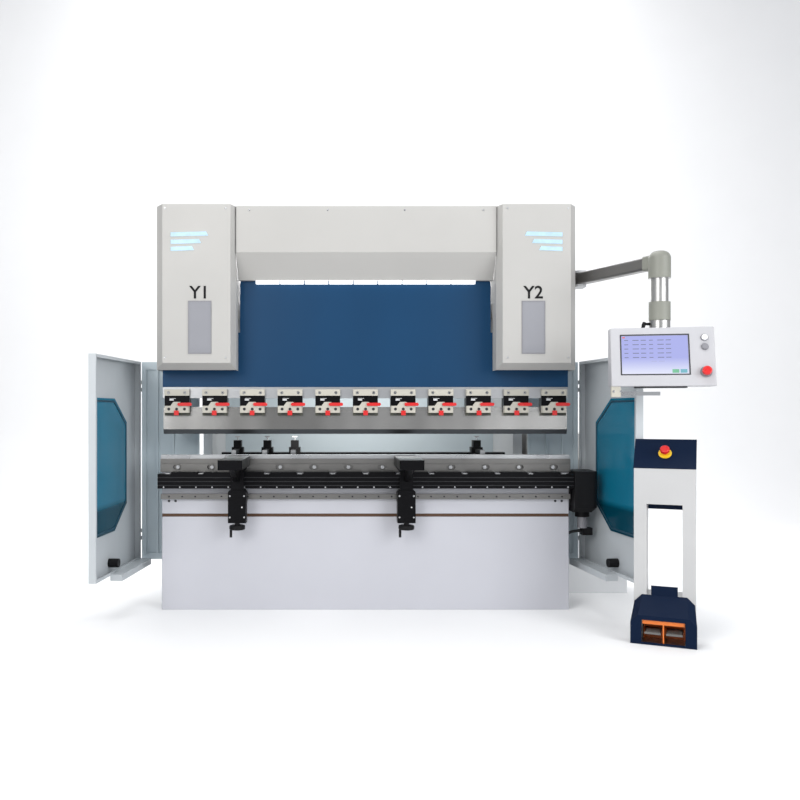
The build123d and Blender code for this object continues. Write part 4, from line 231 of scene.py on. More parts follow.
def banded(name, lower, upper, level, cloud):
    """Two finishes on one plate, with a sharp line at a height; on the punches the dark lower one is painted
    shade of the tip bevel.
    """
    material, nodes, links, shader = new_material(name)
    shader.inputs["Specular IOR Level"].default_value = 0.25
    place = nodes.new("ShaderNodeTexCoord")
    split = nodes.new("ShaderNodeSeparateXYZ")
    over = nodes.new("ShaderNodeMath")
    over.operation = "GREATER_THAN"
    over.inputs[1].default_value = level
    links.new(place.outputs["Object"], split.inputs["Vector"])
    links.new(split.outputs["Z"], over.inputs[0])
    grain = noise(nodes, links, 700.0, 3.0, (0.04, 1, 1))
    blotch = noise(nodes, links, 2.0, 2.0, (1, 1, 0.2))
    low = tinted(nodes, links, grain.outputs["Fac"], shade(lower[0], 0.86), shade(lower[0], 1.1))
    clouds = spread(nodes, links, blotch.outputs["Fac"], 0.0, 1.0)
    high = tinted(nodes, links, clouds, shade(upper[0], 1 - cloud), shade(upper[0], 1 + cloud))
    mix = nodes.new("ShaderNodeMix")
    mix.data_type = "RGBA"
    links.new(over.outputs[0], mix.inputs[0])
    links.new(low, mix.inputs[6])
    links.new(high, mix.inputs[7])
    links.new(mix.outputs[2], shader.inputs["Base Color"])
    for socket, index in (("Metallic", 1), ("Roughness", 2)):
        value = nodes.new("ShaderNodeMapRange")
        value.inputs["To Min"].default_value = lower[index]
        value.inputs["To Max"].default_value = upper[index]
        links.new(over.outputs[0], value.inputs["Value"])
        links.new(value.outputs["Result"], shader.inputs[socket])
    relief(nodes, links, shader, grain.outputs["Fac"], 0.08, 0.0004, settings().edge_round)
    return material


def pane(name, value, alpha, low_z=0.0, low_shade=1.0):
    """A tinted see-through pane, darker below a height, with faint smears."""
    material, nodes, links, shader = new_material(name)
    shader.inputs["Specular IOR Level"].default_value = 0.25
    smear = noise(nodes, links, 3.0, 6.0)
    place = nodes.new("ShaderNodeTexCoord")
    split = nodes.new("ShaderNodeSeparateXYZ")
    links.new(place.outputs["Object"], split.inputs["Vector"])
    band = nodes.new("ShaderNodeMapRange")
    band.inputs["From Min"].default_value = low_z - 0.02
    band.inputs["From Max"].default_value = low_z + 0.02
    links.new(split.outputs["Z"], band.inputs["Value"])
    clear = tinted(nodes, links, smear.outputs["Fac"], shade(value, 0.92), shade(value, 1.08))
    mix = nodes.new("ShaderNodeMix")
    mix.data_type = "RGBA"
    mix.inputs[6].default_value = (*shade(value, low_shade), 1)
    links.new(band.outputs["Result"], mix.inputs[0])
    links.new(clear, mix.inputs[7])
    links.new(mix.outputs[2], shader.inputs["Base Color"])
    links.new(spread(nodes, links, smear.outputs["Fac"], 0.05, 0.12), shader.inputs["Roughness"])
    solid = nodes.new("ShaderNodeMapRange")
    solid.inputs["To Min"].default_value = min(1.0, alpha + 0.25)
    solid.inputs["To Max"].default_value = alpha
    links.new(band.outputs["Result"], solid.inputs["Value"])
    links.new(solid.outputs["Result"], shader.inputs["Alpha"])
    return material


def glow(name, value, strength):
    """A lit diffuser with a faintly uneven glow."""
    material, nodes, links, shader = new_material(name)
    uneven = noise(nodes, links, 24.0, 2.0)
    shader.inputs["Roughness"].default_value = 0.35
    lit = tinted(nodes, links, uneven.outputs["Fac"], shade(value, 0.94), shade(value, 1.04))
    shader.inputs["Base Color"].default_value = (0.08, 0.08, 0.09, 1)
    links.new(lit, shader.inputs["Emission Color"])
    links.new(
        spread(nodes, links, uneven.outputs["Fac"], strength * 0.92, strength * 1.08),
        shader.inputs["Emission Strength"],
    )
    return material


def plastic(name, value, rough=0.35):
    """Moulded plastic or rubber with a fine texture."""
    return paint(name, value, rough=rough, grain=1400.0, depth=0.06, vary=0.05)


def make_materials():
    """All finishes, by name."""
    s = settings()
    black = (0.010, 0.010, 0.011)
    steel = (0.50, 0.51, 0.52)
    return {
        "cover": paint("cover_paint", s.cover_colour[:], 0.46, depth=0.14),
        "bed": paint("bed_paint", s.bed_colour[:], 0.44, vary=0.05),
        "frame": paint("frame_paint", s.frame_colour[:], 0.48),
        "door": paint("door_paint", s.door_colour[:], 0.42),
        # The door panes are darker and more opaque below 0.66 m: painted shade of the shadowed floor seen
        # through them.
        "pane": pane("door_pane_painted_floor_shade", s.pane_colour[:], 0.88, 0.66, 0.30),
        "window": pane("cover_window", (0.29, 0.295, 0.32), 0.95, 1.60, 0.9),
        "ram": banded("ram_finish", (steel, 1.0, 0.32), (s.ram_colour[:], 0.0, 0.38), 1.365, 0.08),
        # The punches' dark band below 1.106 m is painted shade on the downward tip bevel, not a different
        # steel.
        "punch": banded(
            "punch_steel_painted_tip_shade", ((0.06, 0.065, 0.07), 1.0, 0.3), ((0.40, 0.395, 0.38), 1.0, 0.26), 1.106, 0.55
        ),
        "steel": metal("ground_steel", steel, 0.28),
        "table": metal("table_steel", (0.19, 0.187, 0.18), 0.34),
        "upright_steel": metal("brushed_tube", (0.44, 0.44, 0.43), 0.34, (1, 1, 0.05)),
        "boom_steel": metal("brushed_boom", (0.22, 0.215, 0.21), 0.36, (0.05, 1, 1)),
        "chrome": metal("polished_rod", (0.75, 0.76, 0.78), 0.12, (1, 1, 0.05), depth=0.02, vary=0.03),
        "cast": paint("cast_elbow", (0.215, 0.22, 0.19), 0.5, grain=260.0, depth=0.35, vary=0.1),
        "black": paint("black_paint", black, 0.4, vary=0.2, shine=0.1),
        "black_metal": metal("black_anodised", (0.011, 0.011, 0.012), 0.42, (0.05, 1, 1), vary=0.3),
        # Dark plastic for real black parts, and painted shade where it fills holes, slots, grooves and gaps.
        "dark": plastic("dark_plastic_and_hole_shade", (0.02, 0.021, 0.025), 0.55),
        "groove": plastic("brown_groove_strip", (0.12, 0.062, 0.035), 0.6),
        "guard": paint("guard_paint", (0.52, 0.60, 0.64), 0.45),
        "cream": paint("cream_paint", s.cream_colour[:], 0.4),
        "olive": paint("olive_strip", (0.050, 0.052, 0.036), 0.45),
        "red": plastic("red_plastic", (0.60, 0.018, 0.018), 0.28),
        "yellow": plastic("yellow_plastic", (0.85, 0.55, 0.02), 0.35),
        "white": plastic("white_plastic", (0.80, 0.81, 0.82), 0.4),
        "grey": plastic("grey_plastic", (0.22, 0.22, 0.24), 0.4),
        "rubber": plastic("rubber", (0.016, 0.016, 0.017), 0.6),
        "rim": plastic("pane_rim", (0.006, 0.050, 0.085), 0.5),
        "navy": paint("navy_paint", s.navy_colour[:], 0.36, vary=0.12, shine=0.08),
        "column": paint("column_paint", s.column_colour[:], 0.42),
        "panel": paint("panel_paint", s.panel_colour[:], 0.46, depth=0.2),
        "orange": paint("orange_paint", s.orange_colour[:], 0.34),
        "blue": paint("motor_blue", (0.02, 0.10, 0.26), 0.4),
        "lit_white": glow("work_light", (0.95, 0.98, 1.0), s.glow),
        "lit_cyan": glow("light_bar", (0.50, 0.78, 0.96), s.glow * 0.45),
        "screen": screen_finish(),
        "screen_bar": glow("screen_bar", (0.36, 0.38, 0.55), 0.7),
        "screen_red": glow("screen_red", (0.8, 0.10, 0.08), 0.8),
        "screen_green": glow("screen_green", (0.10, 0.55, 0.25), 0.8),
        "screen_teal": glow("screen_teal", (0.08, 0.45, 0.55), 0.8),
        "screen_mark": glow("screen_mark", (0.16, 0.18, 0.34), 0.5),
    }


def screen_finish():
    """The display's glow, from lavender above to white below."""
    material, nodes, links, shader = new_material("screen_glow")
    place = nodes.new("ShaderNodeTexCoord")
    split = nodes.new("ShaderNodeSeparateXYZ")
    fade = nodes.new("ShaderNodeMapRange")
    fade.inputs["From Min"].default_value = 1.40
    fade.inputs["From Max"].default_value = 1.50
    links.new(place.outputs["Object"], split.inputs["Vector"])
    links.new(split.outputs["Z"], fade.inputs["Value"])
    lit = tinted(nodes, links, fade.outputs["Result"], (0.85, 0.88, 0.98), (0.40, 0.43, 0.82))
    links.new(lit, shader.inputs["Emission Color"])
    shader.inputs["Base Color"].default_value = (0.03, 0.03, 0.04, 1)
    shader.inputs["Emission Strength"].default_value = 0.95
    shader.inputs["Roughness"].default_value = 0.2
    return material


def finish_named(name):
    """A finish made earlier, by its key."""
    return bpy.data.materials[bpy.context.scene["finish_" + name]]


def coat(node, name, rules=()):
    """Gives a frame piece a finish, and other finishes to the faces that a rule picks."""
    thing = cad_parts[node]
    thing.data.materials.clear()
    thing.data.materials.append(finish_named(name))
    for number, (other, picks) in enumerate(rules, start=1):
        thing.data.materials.append(finish_named(other))
    for face in thing.data.polygons:
        face.material_index = 0
        for number, (other, picks) in enumerate(rules, start=1):
            if picks(face.center, face.normal):
                face.material_index = number
                break


# ---------------------------------------------------------------- mesh helpers
def box_in(bm, low, high, index=0, turn=None):
    """A block between two corners, placed by an optional frame."""
    ranges = list(zip(low, high))
    corners = [Vector((x, y, z)) for x in ranges[0] for y in ranges[1] for z in ranges[2]]
    verts = [bm.verts.new(turn @ corner if turn else corner) for corner in corners]
    for loop in ((0, 1, 3, 2), (4, 6, 7, 5), (0, 4, 5, 1), (2, 3, 7, 6), (0, 2, 6, 4), (1, 5, 7, 3)):
        face = bm.faces.new([verts[place] for place in loop])
        face.material_index = index


def stud_in(bm, start, along, profile, sides=24, index=0):
    """A turned piece: rings of (distance, radius) along an axis, closed at both ends."""
    along = Vector(along).normalized()
    across = along.orthogonal().normalized()
    other = along.cross(across)
    rings = []
    for distance, radius in profile:
        middle = Vector(start) + along * distance
        ring = []
        for step in range(sides):
            angle = 2 * pi * step / sides
            ring.append(bm.verts.new(middle + (across * cos(angle) + other * sin(angle)) * radius))
        rings.append(ring)
    for first, second in zip(rings, rings[1:]):
        for step in range(sides):
            after = (step + 1) % sides
            face = bm.faces.new((first[step], first[after], second[after], second[step]))
            face.material_index = index
            face.smooth = sides > 12
    for ring, flip in ((rings[0], True), (rings[-1], False)):
        face = bm.faces.new(list(reversed(ring)) if flip else ring)
        face.material_index = index


def piece(name, body, finishes, build, bevel=0.0):
    """A detail piece built by a function, riding on a body."""
    mesh = bpy.data.meshes.new(name)
    bm = bmesh.new()
    build(bm)
    bmesh.ops.recalc_face_normals(bm, faces=bm.faces)
    bm.to_mesh(mesh)
    bm.free()
    thing = bpy.data.objects.new(name, mesh)
    bpy.context.scene.collection.objects.link(thing)
    for finish in finishes:
        mesh.materials.append(finish_named(finish))
    if bevel:
        modifier = thing.modifiers.new("edges", "BEVEL")
        modifier.width = bevel
        modifier.segments = 2
        modifier.limit_method = "ANGLE"
    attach(thing, body)
    return thing


def panel_frame():
    """The control panel's leaning face: X to the right, Y up the face, Z outwards."""
    turn = radians(12)
    across = Vector((cos(turn), -sin(turn), 0))
    back = Vector((sin(turn), cos(turn), 0))
    up = Vector((0, 0, 1))
    middle = Vector((1.565, -0.667, 0)) - back * (0.057 + 0.038) + up * 1.506
    rise = (back * 0.076 + up * 0.316).normalized()
    return Matrix.Translation(middle) @ Matrix((across, rise, across.cross(rise))).transposed().to_4x4()


def pedestal_frame():
    """The pedestal's level frame at the foot of its column's front: Y to the rear."""
    return Matrix.Translation((1.555, -0.760, 0)) @ Matrix.Rotation(radians(-24), 4, "Z")


def door_frame(sign, pin, opened):
    """A door's hinge point, the way into the machine and the way along the door."""
    swing = radians(opened)
    inward = Vector((-sign * cos(swing), -sin(swing), 0))
    along = Vector((sign * sin(swing), -cos(swing), 0))
    return Vector((pin, HINGE_Y, 0)), inward, along


def cap_frame():
    """The middle of the pedestal cap's sloping top."""
    level = pedestal_frame()
    back = (level.to_3x3() @ Vector((0, 1, 0))).normalized()
    across = (level.to_3x3() @ Vector((1, 0, 0))).normalized()
    rise = (back * 0.140 + Vector((0, 0, 1)) * 0.150).normalized()
    out = across.cross(rise).normalized()
    middle = level @ Vector((0, 0.070, 0.987)) + out * 0.004
    return Matrix.Translation(middle) @ Matrix((across, rise, out)).transposed().to_4x4()


# ---------------------------------------------------------------- operators
class PRESSBRAKE_OT_stage(bpy.types.Operator):
    """Make the floor, the lamps, the sky and the camera"""

    bl_idname = "press_brake.stage"
    bl_label = "Studio"

    def execute(self, context):
        scene = context.scene
        mesh = bpy.data.meshes.new("floor")
        bm = bmesh.new()
        wall_y, half, height, bend = 5.5, 14.0, 9.0, 1.6
        profile = [(-12.0, 0.0), (wall_y - bend, 0.0)]
        for step in range(1, 9):
            angle = radians(90 * step / 8)
            profile.append((wall_y - bend + bend * sin(angle), bend - bend * cos(angle)))
        profile.append((wall_y, height))
        rows = [[bm.verts.new((x, y, z - 0.0005)) for y, z in profile] for x in (-half, half)]
        for step in range(len(profile) - 1):
            face = bm.faces.new((rows[0][step], rows[1][step], rows[1][step + 1], rows[0][step + 1]))
            face.smooth = True
        bm.to_mesh(mesh)
        bm.free()
        floor = bpy.data.objects.new("floor", mesh)
        scene.collection.objects.link(floor)
        finish = paint("studio_floor", FLOOR_COLOUR, 0.6, grain=60.0, depth=0.02, vary=0.015)
        mesh.materials.append(finish)
        for name, place, aim, size, power, tone in LAMPS:
            lamp = bpy.data.lights.new(name, "AREA")
            lamp.energy = settings().lamp_power * power
            lamp.size = size
            lamp.color = tone
            thing = bpy.data.objects.new(name, lamp)
            thing.location = place
            thing.rotation_euler = (Vector(aim) - Vector(place)).to_track_quat("-Z", "Y").to_euler()
            scene.collection.objects.link(thing)
        world = bpy.data.worlds.new("soft_sky")
        world.use_nodes = True
        world.node_tree.nodes["Background"].inputs["Color"].default_value = (0.93, 0.95, 1.0, 1)
        world.node_tree.nodes["Background"].inputs["Strength"].default_value = 0.55
        scene.world = world
        lens = bpy.data.cameras.new("camera")
        lens.sensor_width = 36
        lens.lens = CAMERA_LENS
        lens.shift_x = 0.084
        lens.shift_y = 0.014
        lens.clip_end = 60
        camera = bpy.data.objects.new("camera", lens)
        camera.location = CAMERA_PLACE
        camera.rotation_euler = (radians(90), 0, 0)
        scene.collection.objects.link(camera)
        scene.camera = camera
        scene.view_settings.view_transform = "Standard"
        return {"FINISHED"}


class PRESSBRAKE_OT_finishes(bpy.types.Operator):
    """Make every finish that the pieces use"""

    bl_idname = "press_brake.finishes"
    bl_label = "Finishes"

    def execute(self, context):
        for name, material in make_materials().items():
            context.scene["finish_" + name] = material.name
        return {"FINISHED"}


class PRESSBRAKE_OT_lead(bpy.types.Operator):
    """Make the crowning drive's lead"""

    bl_idname = "press_brake.lead"
    bl_label = "Drive lead"

    def execute(self, context):
        curve = bpy.data.curves.new("drive_lead", "CURVE")
        curve.dimensions = "3D"
        curve.bevel_depth = settings().lead_diameter / 2
        curve.bevel_resolution = 6
        curve.use_fill_caps = True
        spline = curve.splines.new("NURBS")
        spline.points.add(len(LEAD_ROUTE) - 1)
        for point, place in zip(spline.points, LEAD_ROUTE):
            point.co = (*place, 1)
        spline.order_u = 3
        spline.use_endpoint_u = True
        spline.resolution_u = 12
        lead = bpy.data.objects.new("drive_lead", curve)
        context.scene.collection.objects.link(lead)
        curve.materials.append(finish_named("rubber"))
        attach(lead, "machine")
        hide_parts("drive_cable")
        return {"FINISHED"}


class PRESSBRAKE_OT_frame(bpy.types.Operator):
    """Paint the frame, bed, table and covers"""

    bl_idname = "press_brake.frame"
    bl_label = "Frame and covers"

    def execute(self, context):
        coat("side_frames", "frame")
        coat("frame_ties_and_gibs", "frame")
        coat("boom_bracket", "frame")
        # The faces in the bed's groove between the plate and the apron are coloured brown.
        def groove(c, n):
            return 0.5695 < c.z < 0.5895 and c.y < -0.0205 and abs(c.x) < 1.2499

        # The faces inside the table's bolt pockets, the front beam's slots and the guide rail's groove get
        # the dark finish: painted shade in these recesses.
        def bolt_pocket_shade(c, n):
            return c.y < -0.029 and 0.85 < c.z < 0.8935 and n.y > -0.9

        def beam_slot_shade(c, n):
            return c.y > -0.104 and c.z < 0.8355 and abs(n.y) > 0.9

        def rail_groove_shade(c, n):
            return -0.0625 < c.y < -0.0345 and abs(n.z) < 0.9

        coat("bed_beam", "bed", [("groove", groove)])
        coat("crowning_table", "table", [("dark", bolt_pocket_shade)])
        coat("table_bolts", "steel")
        coat("vee_die", "steel")
        coat("front_beam", "black_metal", [("dark", beam_slot_shade)])
        coat("guide_rail", "table", [("dark", rail_groove_shade)])
        coat(
            "drive_box",
            "black",
            [
                ("grey", lambda c, n: 0.4925 < c.z < 0.5615 and abs(c.x - 1.352) < 0.031),
                ("steel", lambda c, n: c.x < 1.0935 and c.z < 0.4),
            ],
        )
        coat("cylinder_covers", "cover", [("window", lambda c, n: c.y < -0.2205)])
        coat("upper_cover", "cover")
        coat("light_bars", "lit_white", [("lit_cyan", lambda c, n: c.z > 2.1)])
        coat(
            "hydraulics",
            "grey",
            [
                ("chrome", lambda c, n: c.z > 2.385 and c.y > 0.04 and abs(c.x) > 0.28),
                ("blue", lambda c, n: abs(c.x) < 0.151 and c.z > 2.181),
                ("black", lambda c, n: abs(c.x) < 0.27 and c.z > 2.19),
                ("frame", lambda c, n: abs(c.x) < 0.46 and c.z < 2.181),
                ("upright_steel", lambda c, n: c.z > 2.3705),
            ],
        )
        coat("gauge_rails", "black_metal")
        return {"FINISHED"}


class PRESSBRAKE_OT_ram(bpy.types.Operator):
    """Paint the ram, its clamps, levers and punches"""

    bl_idname = "press_brake.ram"
    bl_label = "Ram and clamps"

    def execute(self, context):
        def nearest(x):
            return min((x - place for place in CLAMP_PLACES), key=abs)

        def key(c, n):
            return c.y < -0.0561 and c.z < 1.2225 and abs(nearest(c.x)) < 0.0145

        def bolt(c, n):
            across = nearest(c.x)
            upper = min(abs(across - 0.05), abs(across + 0.05))
            lower = min(abs(across - 0.048), abs(across), abs(across + 0.048))
            on_upper = upper**2 + (c.z - 1.330) ** 2 < 0.0096**2
            on_lower = lower**2 + (c.z - 1.230) ** 2 < 0.0096**2
            return on_upper or on_lower

        coat("ram_beam", "ram")
        coat("piston_rods", "chrome")
        coat("clamp_bodies", "black_metal")
        coat(
            "clamp_plates",
            "cream",
            [("red", key), ("olive", lambda c, n: c.z < 1.2072), ("dark", bolt)],
        )
        coat("punches", "punch")
        for number in range(1, 12):
            coat(f"clamp_lever_{number:02d}", "red", [("steel", lambda c, n: c.y > -0.0565)])
        return {"FINISHED"}


class PRESSBRAKE_OT_clamp_marks(bpy.types.Operator):
    """Add the clamps' pale marks, slots and hexagon sockets"""

    bl_idname = "press_brake.clamp_marks"
    bl_label = "Clamp details"

    def execute(self, context):
        def build(bm):
            for place in CLAMP_PLACES:
                box_in(bm, (place - 0.046, -0.0430, 1.283), (place - 0.020, -0.0420, 1.290), 0)
                box_in(bm, (place - 0.046, -0.0428, 1.294), (place - 0.008, -0.0420, 1.2965), 0)
                # The dark strips for the slots and the dark hexagons for the bolts' sockets are painted
                # shade in these hollows.
                for middle in (place - 0.044, place + 0.044):
                    box_in(bm, (middle - 0.014, -0.0375, 1.1955), (middle + 0.014, -0.0370, 1.2015), 1)
                for middle in (place - 0.05, place + 0.05):
                    socket = ((0, 0.0042), (0.0006, 0.0042))
                    head = ((0, 0.0076), (0.0004, 0.0076))
                    stud_in(bm, (middle, -0.0510, 1.330), (0, -1, 0), socket, 6, 1)
                    stud_in(bm, (middle, -0.0508, 1.330), (0, -1, 0), head, 20, 2)

        piece("clamp_marks", "ram", ("white", "dark", "steel"), build)
        return {"FINISHED"}


class PRESSBRAKE_OT_front(bpy.types.Operator):
    """Paint the front supports and the back gauge"""

    bl_idname = "press_brake.front"
    bl_label = "Supports and gauge"

    def execute(self, context):
        for side, place in SUPPORT_PLACES.items():
            coat(f"{side}_support_carriage", "black_metal")
            coat(f"{side}_support_arm", "black_metal", [("table", lambda c, n: n.z > 0.9 and c.z > 0.94)])
            coat(f"{side}_support_wheel", "black", [("chrome", lambda c, n: c.z > 0.545)])
        coat("gauge_carriage", "black_metal")
        coat("gauge_beam", "black_metal")
        for number in range(1, 5):
            coat(f"gauge_finger_{number}", "black", [("steel", lambda c, n: c.z > 1.0265 or c.y < 0.1125)])
        return {"FINISHED"}


class PRESSBRAKE_OT_support_marks(bpy.types.Operator):
    """Add the supports' index marks and screws and the front beam's inserts"""

    bl_idname = "press_brake.support_marks"
    bl_label = "Support details"

    def execute(self, context):
        for side, place in SUPPORT_PLACES.items():

            def build(bm, place=place):
                for height in (0.580, 0.708):
                    for offset in (-0.043, 0.043):
                        rings = ((0, 0.0055), (0.002, 0.0055), (0.0028, 0.0045))
                        stud_in(bm, (place + offset, -0.156, height), (0, -1, 0), rings, 20, 0)
                stud_in(bm, (place + 0.030, -0.156, 0.640), (0, -1, 0), ((0, 0.004), (0.001, 0.004)), 16, 1)

            carriage = f"{side}_support_carriage"
            piece(f"{side}_support_screws", carriage, ("steel", "white"), build)

        def inserts(bm):
            for number in range(13):
                middle = -1.2 + number * 0.2
                box_in(bm, (middle - 0.014, -0.1050, 0.8362), (middle + 0.014, -0.060, 0.8400), 0)
            for number in range(26):
                place = -1.225 + number * 0.098
                rings = ((0, 0.0048), (0.0012, 0.0048), (0.0018, 0.0040))
                stud_in(bm, (place, -0.105, 0.7565), (0, -1, 0), rings, 14, 0)

        piece("beam_inserts", "machine", ("steel",), inserts)
        return {"FINISHED"}


class PRESSBRAKE_OT_guards(bpy.types.Operator):
    """Paint the guards, the doors and the cabinet"""

    bl_idname = "press_brake.guards"
    bl_label = "Guards and doors"

    def execute(self, context):
        def leaf(c, n):
            near_end = 0.383 < c.z < 0.457 or 1.343 < c.z < 1.417
            return near_end and c.y < 0.2715 and (c.x > 1.3905 or c.x < -1.4385)

        coat("guard_panels", "guard", [("upright_steel", leaf)])
        for side, sign, pin, opened in DOORS:
            start, inward, along = door_frame(sign, pin, opened)

            def depth(c, start=start, inward=inward):
                return (c - start).dot(inward) - 0.006

            def reach(c, start=start, along=along):
                return (c - start).dot(along)

            def is_pane(c, n):
                return 0.0033 < depth(c) < 0.0097 and 0.19 < reach(c) < 0.80 and 0.49 < c.z < 1.30

            def is_latch(c, n):
                return depth(c) > 0.01 and abs(reach(c) - 0.5) < 0.027 and abs(c.z - 0.322) < 0.027

            def is_hinge(c, n):
                return depth(c) < -0.0005

            rules = [("pane", is_pane), ("black", is_latch), ("upright_steel", is_hinge)]
            coat(f"{side}_door", "door", rules)
        # The plinth below 0.5995 m takes the lighter frame paint to brighten it where it stands in shade:
        # painted light.
        coat("electrical_cabinet", "cover", [("frame", lambda c, n: c.z < 0.5995)])
        return {"FINISHED"}


class PRESSBRAKE_OT_door_seals(bpy.types.Operator):
    """Add the rubber seals round the door panes"""

    bl_idname = "press_brake.door_seals"
    bl_label = "Door seals"

    def execute(self, context):
        for side, sign, pin, opened in DOORS:
            hinge, inward, along = door_frame(sign, pin, opened)
            start = hinge + inward * 0.006
            near, far, low, high = 0.211, 0.777, 0.512, 1.281
            cut, drop = near + 0.220, 0.145
            outer = [(far, low), (far, high), (cut, high)]
            outer += [(near, high - drop), (near, low + drop), (cut, low)]
            inner = []
            for number, corner in enumerate(outer):
                before = Vector(outer[number - 1]) - Vector(corner)
                after = Vector(outer[(number + 1) % 6]) - Vector(corner)
                way = before.normalized() + after.normalized()
                inner.append(Vector(corner) + way.normalized() * 0.013)

            def build(bm):
                loops = []
                for shape, deep in ((outer, 0.0100), (inner, 0.0100), (inner, 0.0125), (outer, 0.0125)):
                    ring = []
                    for reach, z in shape:
                        ring.append(bm.verts.new(start + inward * deep + along * reach + Vector((0, 0, z))))
                    loops.append(ring)
                for first, second in zip(loops, loops[1:] + loops[:1]):
                    for number in range(6):
                        after = (number + 1) % 6
                        bm.faces.new((first[number], first[after], second[after], second[number]))

            piece(f"{side}_door_seal", f"{side}_door", ("rim",), build, 0.0006)
        return {"FINISHED"}


class PRESSBRAKE_OT_pendant(bpy.types.Operator):
    """Paint the boom and the control panel"""

    bl_idname = "press_brake.pendant"
    bl_label = "Pendant"

    def execute(self, context):
        elbow = Vector((1.565, -0.667))

        def off_axis(c):
            return (c.xy - elbow).length

        coat(
            "boom",
            "boom_steel",
            [
                ("cast", lambda c, n: c.z > 1.9345 and off_axis(c) < 0.0905),
                ("cast", lambda c, n: c.z < 1.8065),
                ("upright_steel", lambda c, n: c.z < 1.9345),
            ],
        )
        bar_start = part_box("control_panel")[0][0] + 0.052
        coat(
            "control_panel",
            "panel",
            [
                ("upright_steel", lambda c, n: c.z > 1.6645),
                ("steel", lambda c, n: c.z < 1.3405 and c.x > bar_start and 1.299 < c.z < 1.321),
                ("cream", lambda c, n: c.z < 1.3475),
            ],
        )
        coat("start_button", "white")
        coat("stop_button", "grey")
        coat("panel_estop", "red")
        return {"FINISHED"}


class PRESSBRAKE_OT_display(bpy.types.Operator):
    """Add the display, its blocks and the rings round the buttons"""

    bl_idname = "press_brake.display"
    bl_label = "Display"

    def execute(self, context):
        turn = panel_frame()
        left, right, low, high = -0.207, 0.131, -0.095, 0.119

        def display(bm):
            box_in(bm, (left + 0.002, low + 0.002, -0.0038), (right - 0.002, high - 0.002, -0.0022), 0, turn)
            box_in(bm, (left + 0.006, high - 0.014, -0.0022), (left + 0.020, high - 0.006, -0.0018), 2, turn)
            for start in (left + 0.150, left + 0.190):
                box_in(bm, (start, low + 0.070, -0.0022), (start + 0.028, low + 0.0715, -0.0018), 1, turn)
            for number in range(5):
                level = high - 0.024 - number * 0.024
                for column in range(6):
                    start = left + 0.016 + column * 0.042
                    long = 0.020 + 0.012 * ((number * 3 + column * 5) % 3) / 2
                    box_in(bm, (start, level - 0.004, -0.0022), (start + long, level, -0.0019), 5, turn)
            for number in range(2):
                start = right - 0.084 + number * 0.040
                corner = (start + 0.034, low + 0.026, -0.0018)
                box_in(bm, (start, low + 0.006, -0.0022), corner, 3 + number, turn)

        finishes = ("screen", "screen_bar", "screen_red", "screen_green", "screen_teal", "screen_mark")
        piece("display", "control_panel", finishes, display)

        def trim(bm):
            for low_x, high_x, low_y, high_y in (
                (left - 0.006, right + 0.006, high, high + 0.006),
                (left - 0.006, right + 0.006, low - 0.006, low),
                (left - 0.006, left, low, high),
                (right, right + 0.006, low, high),
            ):
                box_in(bm, (low_x, low_y, 0.0), (high_x, high_y, 0.0012), 0, turn)
            for height in (0.102, 0.052):
                middle = turn @ Vector((0.212, height, 0.0))
                out = turn.to_3x3() @ Vector((0, 0, 1))
                rings = ((0, 0.0195), (0.002, 0.0195), (0.0042, 0.0175), (0.0042, 0.0085))
                stud_in(bm, middle, out, rings, 32, 1)
            middle = turn @ Vector((0.212, -0.086, 0.0))
            out = turn.to_3x3() @ Vector((0, 0, 1))
            stud_in(bm, middle, out, ((0, 0.030), (0.0022, 0.030), (0.0032, 0.029)), 40, 2)
            stud_in(bm, middle + out * 0.0032, out, ((0, 0.016), (0.0045, 0.016)), 32, 0)

        piece("panel_trim", "control_panel", ("dark", "grey", "grey"), trim)

        def underside(bm):
            level = Matrix.Translation((1.565, -0.667, 0)) @ Matrix.Rotation(radians(-12), 4, "Z")
            box_in(bm, (-0.140, -0.118, 1.3395), (0.120, -0.060, 1.3478), 0, level)
            for start in (-0.262, -0.226):
                rings = ((0, 0.006), (0.002, 0.006), (0.003, 0.005))
                middle = level @ Vector((start + 0.012, -0.125, 1.322))
                stud_in(bm, middle, level.to_3x3() @ Vector((0, -1, 0)), rings, 20, 1)

        piece("panel_underside", "control_panel", ("dark", "steel"), underside)

        def lever(bm):
            level = Matrix.Translation((1.565, -0.667, 0)) @ Matrix.Rotation(radians(-12), 4, "Z")
            out = level.to_3x3() @ Vector((-1, -0.15, 0))
            start = level @ Vector((-0.050, -0.008, 1.688))
            stud_in(bm, start, out, ((0, 0.008), (0.018, 0.007), (0.034, 0.006)), 20, 0)
            tip = start + out.normalized() * 0.030 + Vector((0, 0, 0.010))
            rings = ((0, 0.008), (0.012, 0.011), (0.036, 0.009), (0.046, 0.006))
            stud_in(bm, tip, Vector((-0.25, 0, -1)), rings, 20, 0)

        piece("swivel_lever", "control_panel", ("black",), lever)
        return {"FINISHED"}


class PRESSBRAKE_OT_pedestal(bpy.types.Operator):
    """Paint the pedestal, its hood and its pedals"""

    bl_idname = "press_brake.pedestal"
    bl_label = "Pedestal"

    def execute(self, context):
        face = cap_frame().inverted()

        def ring(c, n):
            local = face @ c
            return local.z > 0.0004 and local.xy.length < 0.036

        coat("pedestal_column", "column")
        coat("pedestal_cap", "navy", [("yellow", ring)])
        coat("pedal_guard", "navy")
        coat("foot_switch", "orange", [("steel", lambda c, n: c.z < 0.0101)])
        coat("pedestal_estop", "red")
        for side in ("left", "right"):
            coat(f"{side}_pedal", "table", [("black", lambda c, n: c.z < 0.0535)])
        return {"FINISHED"}


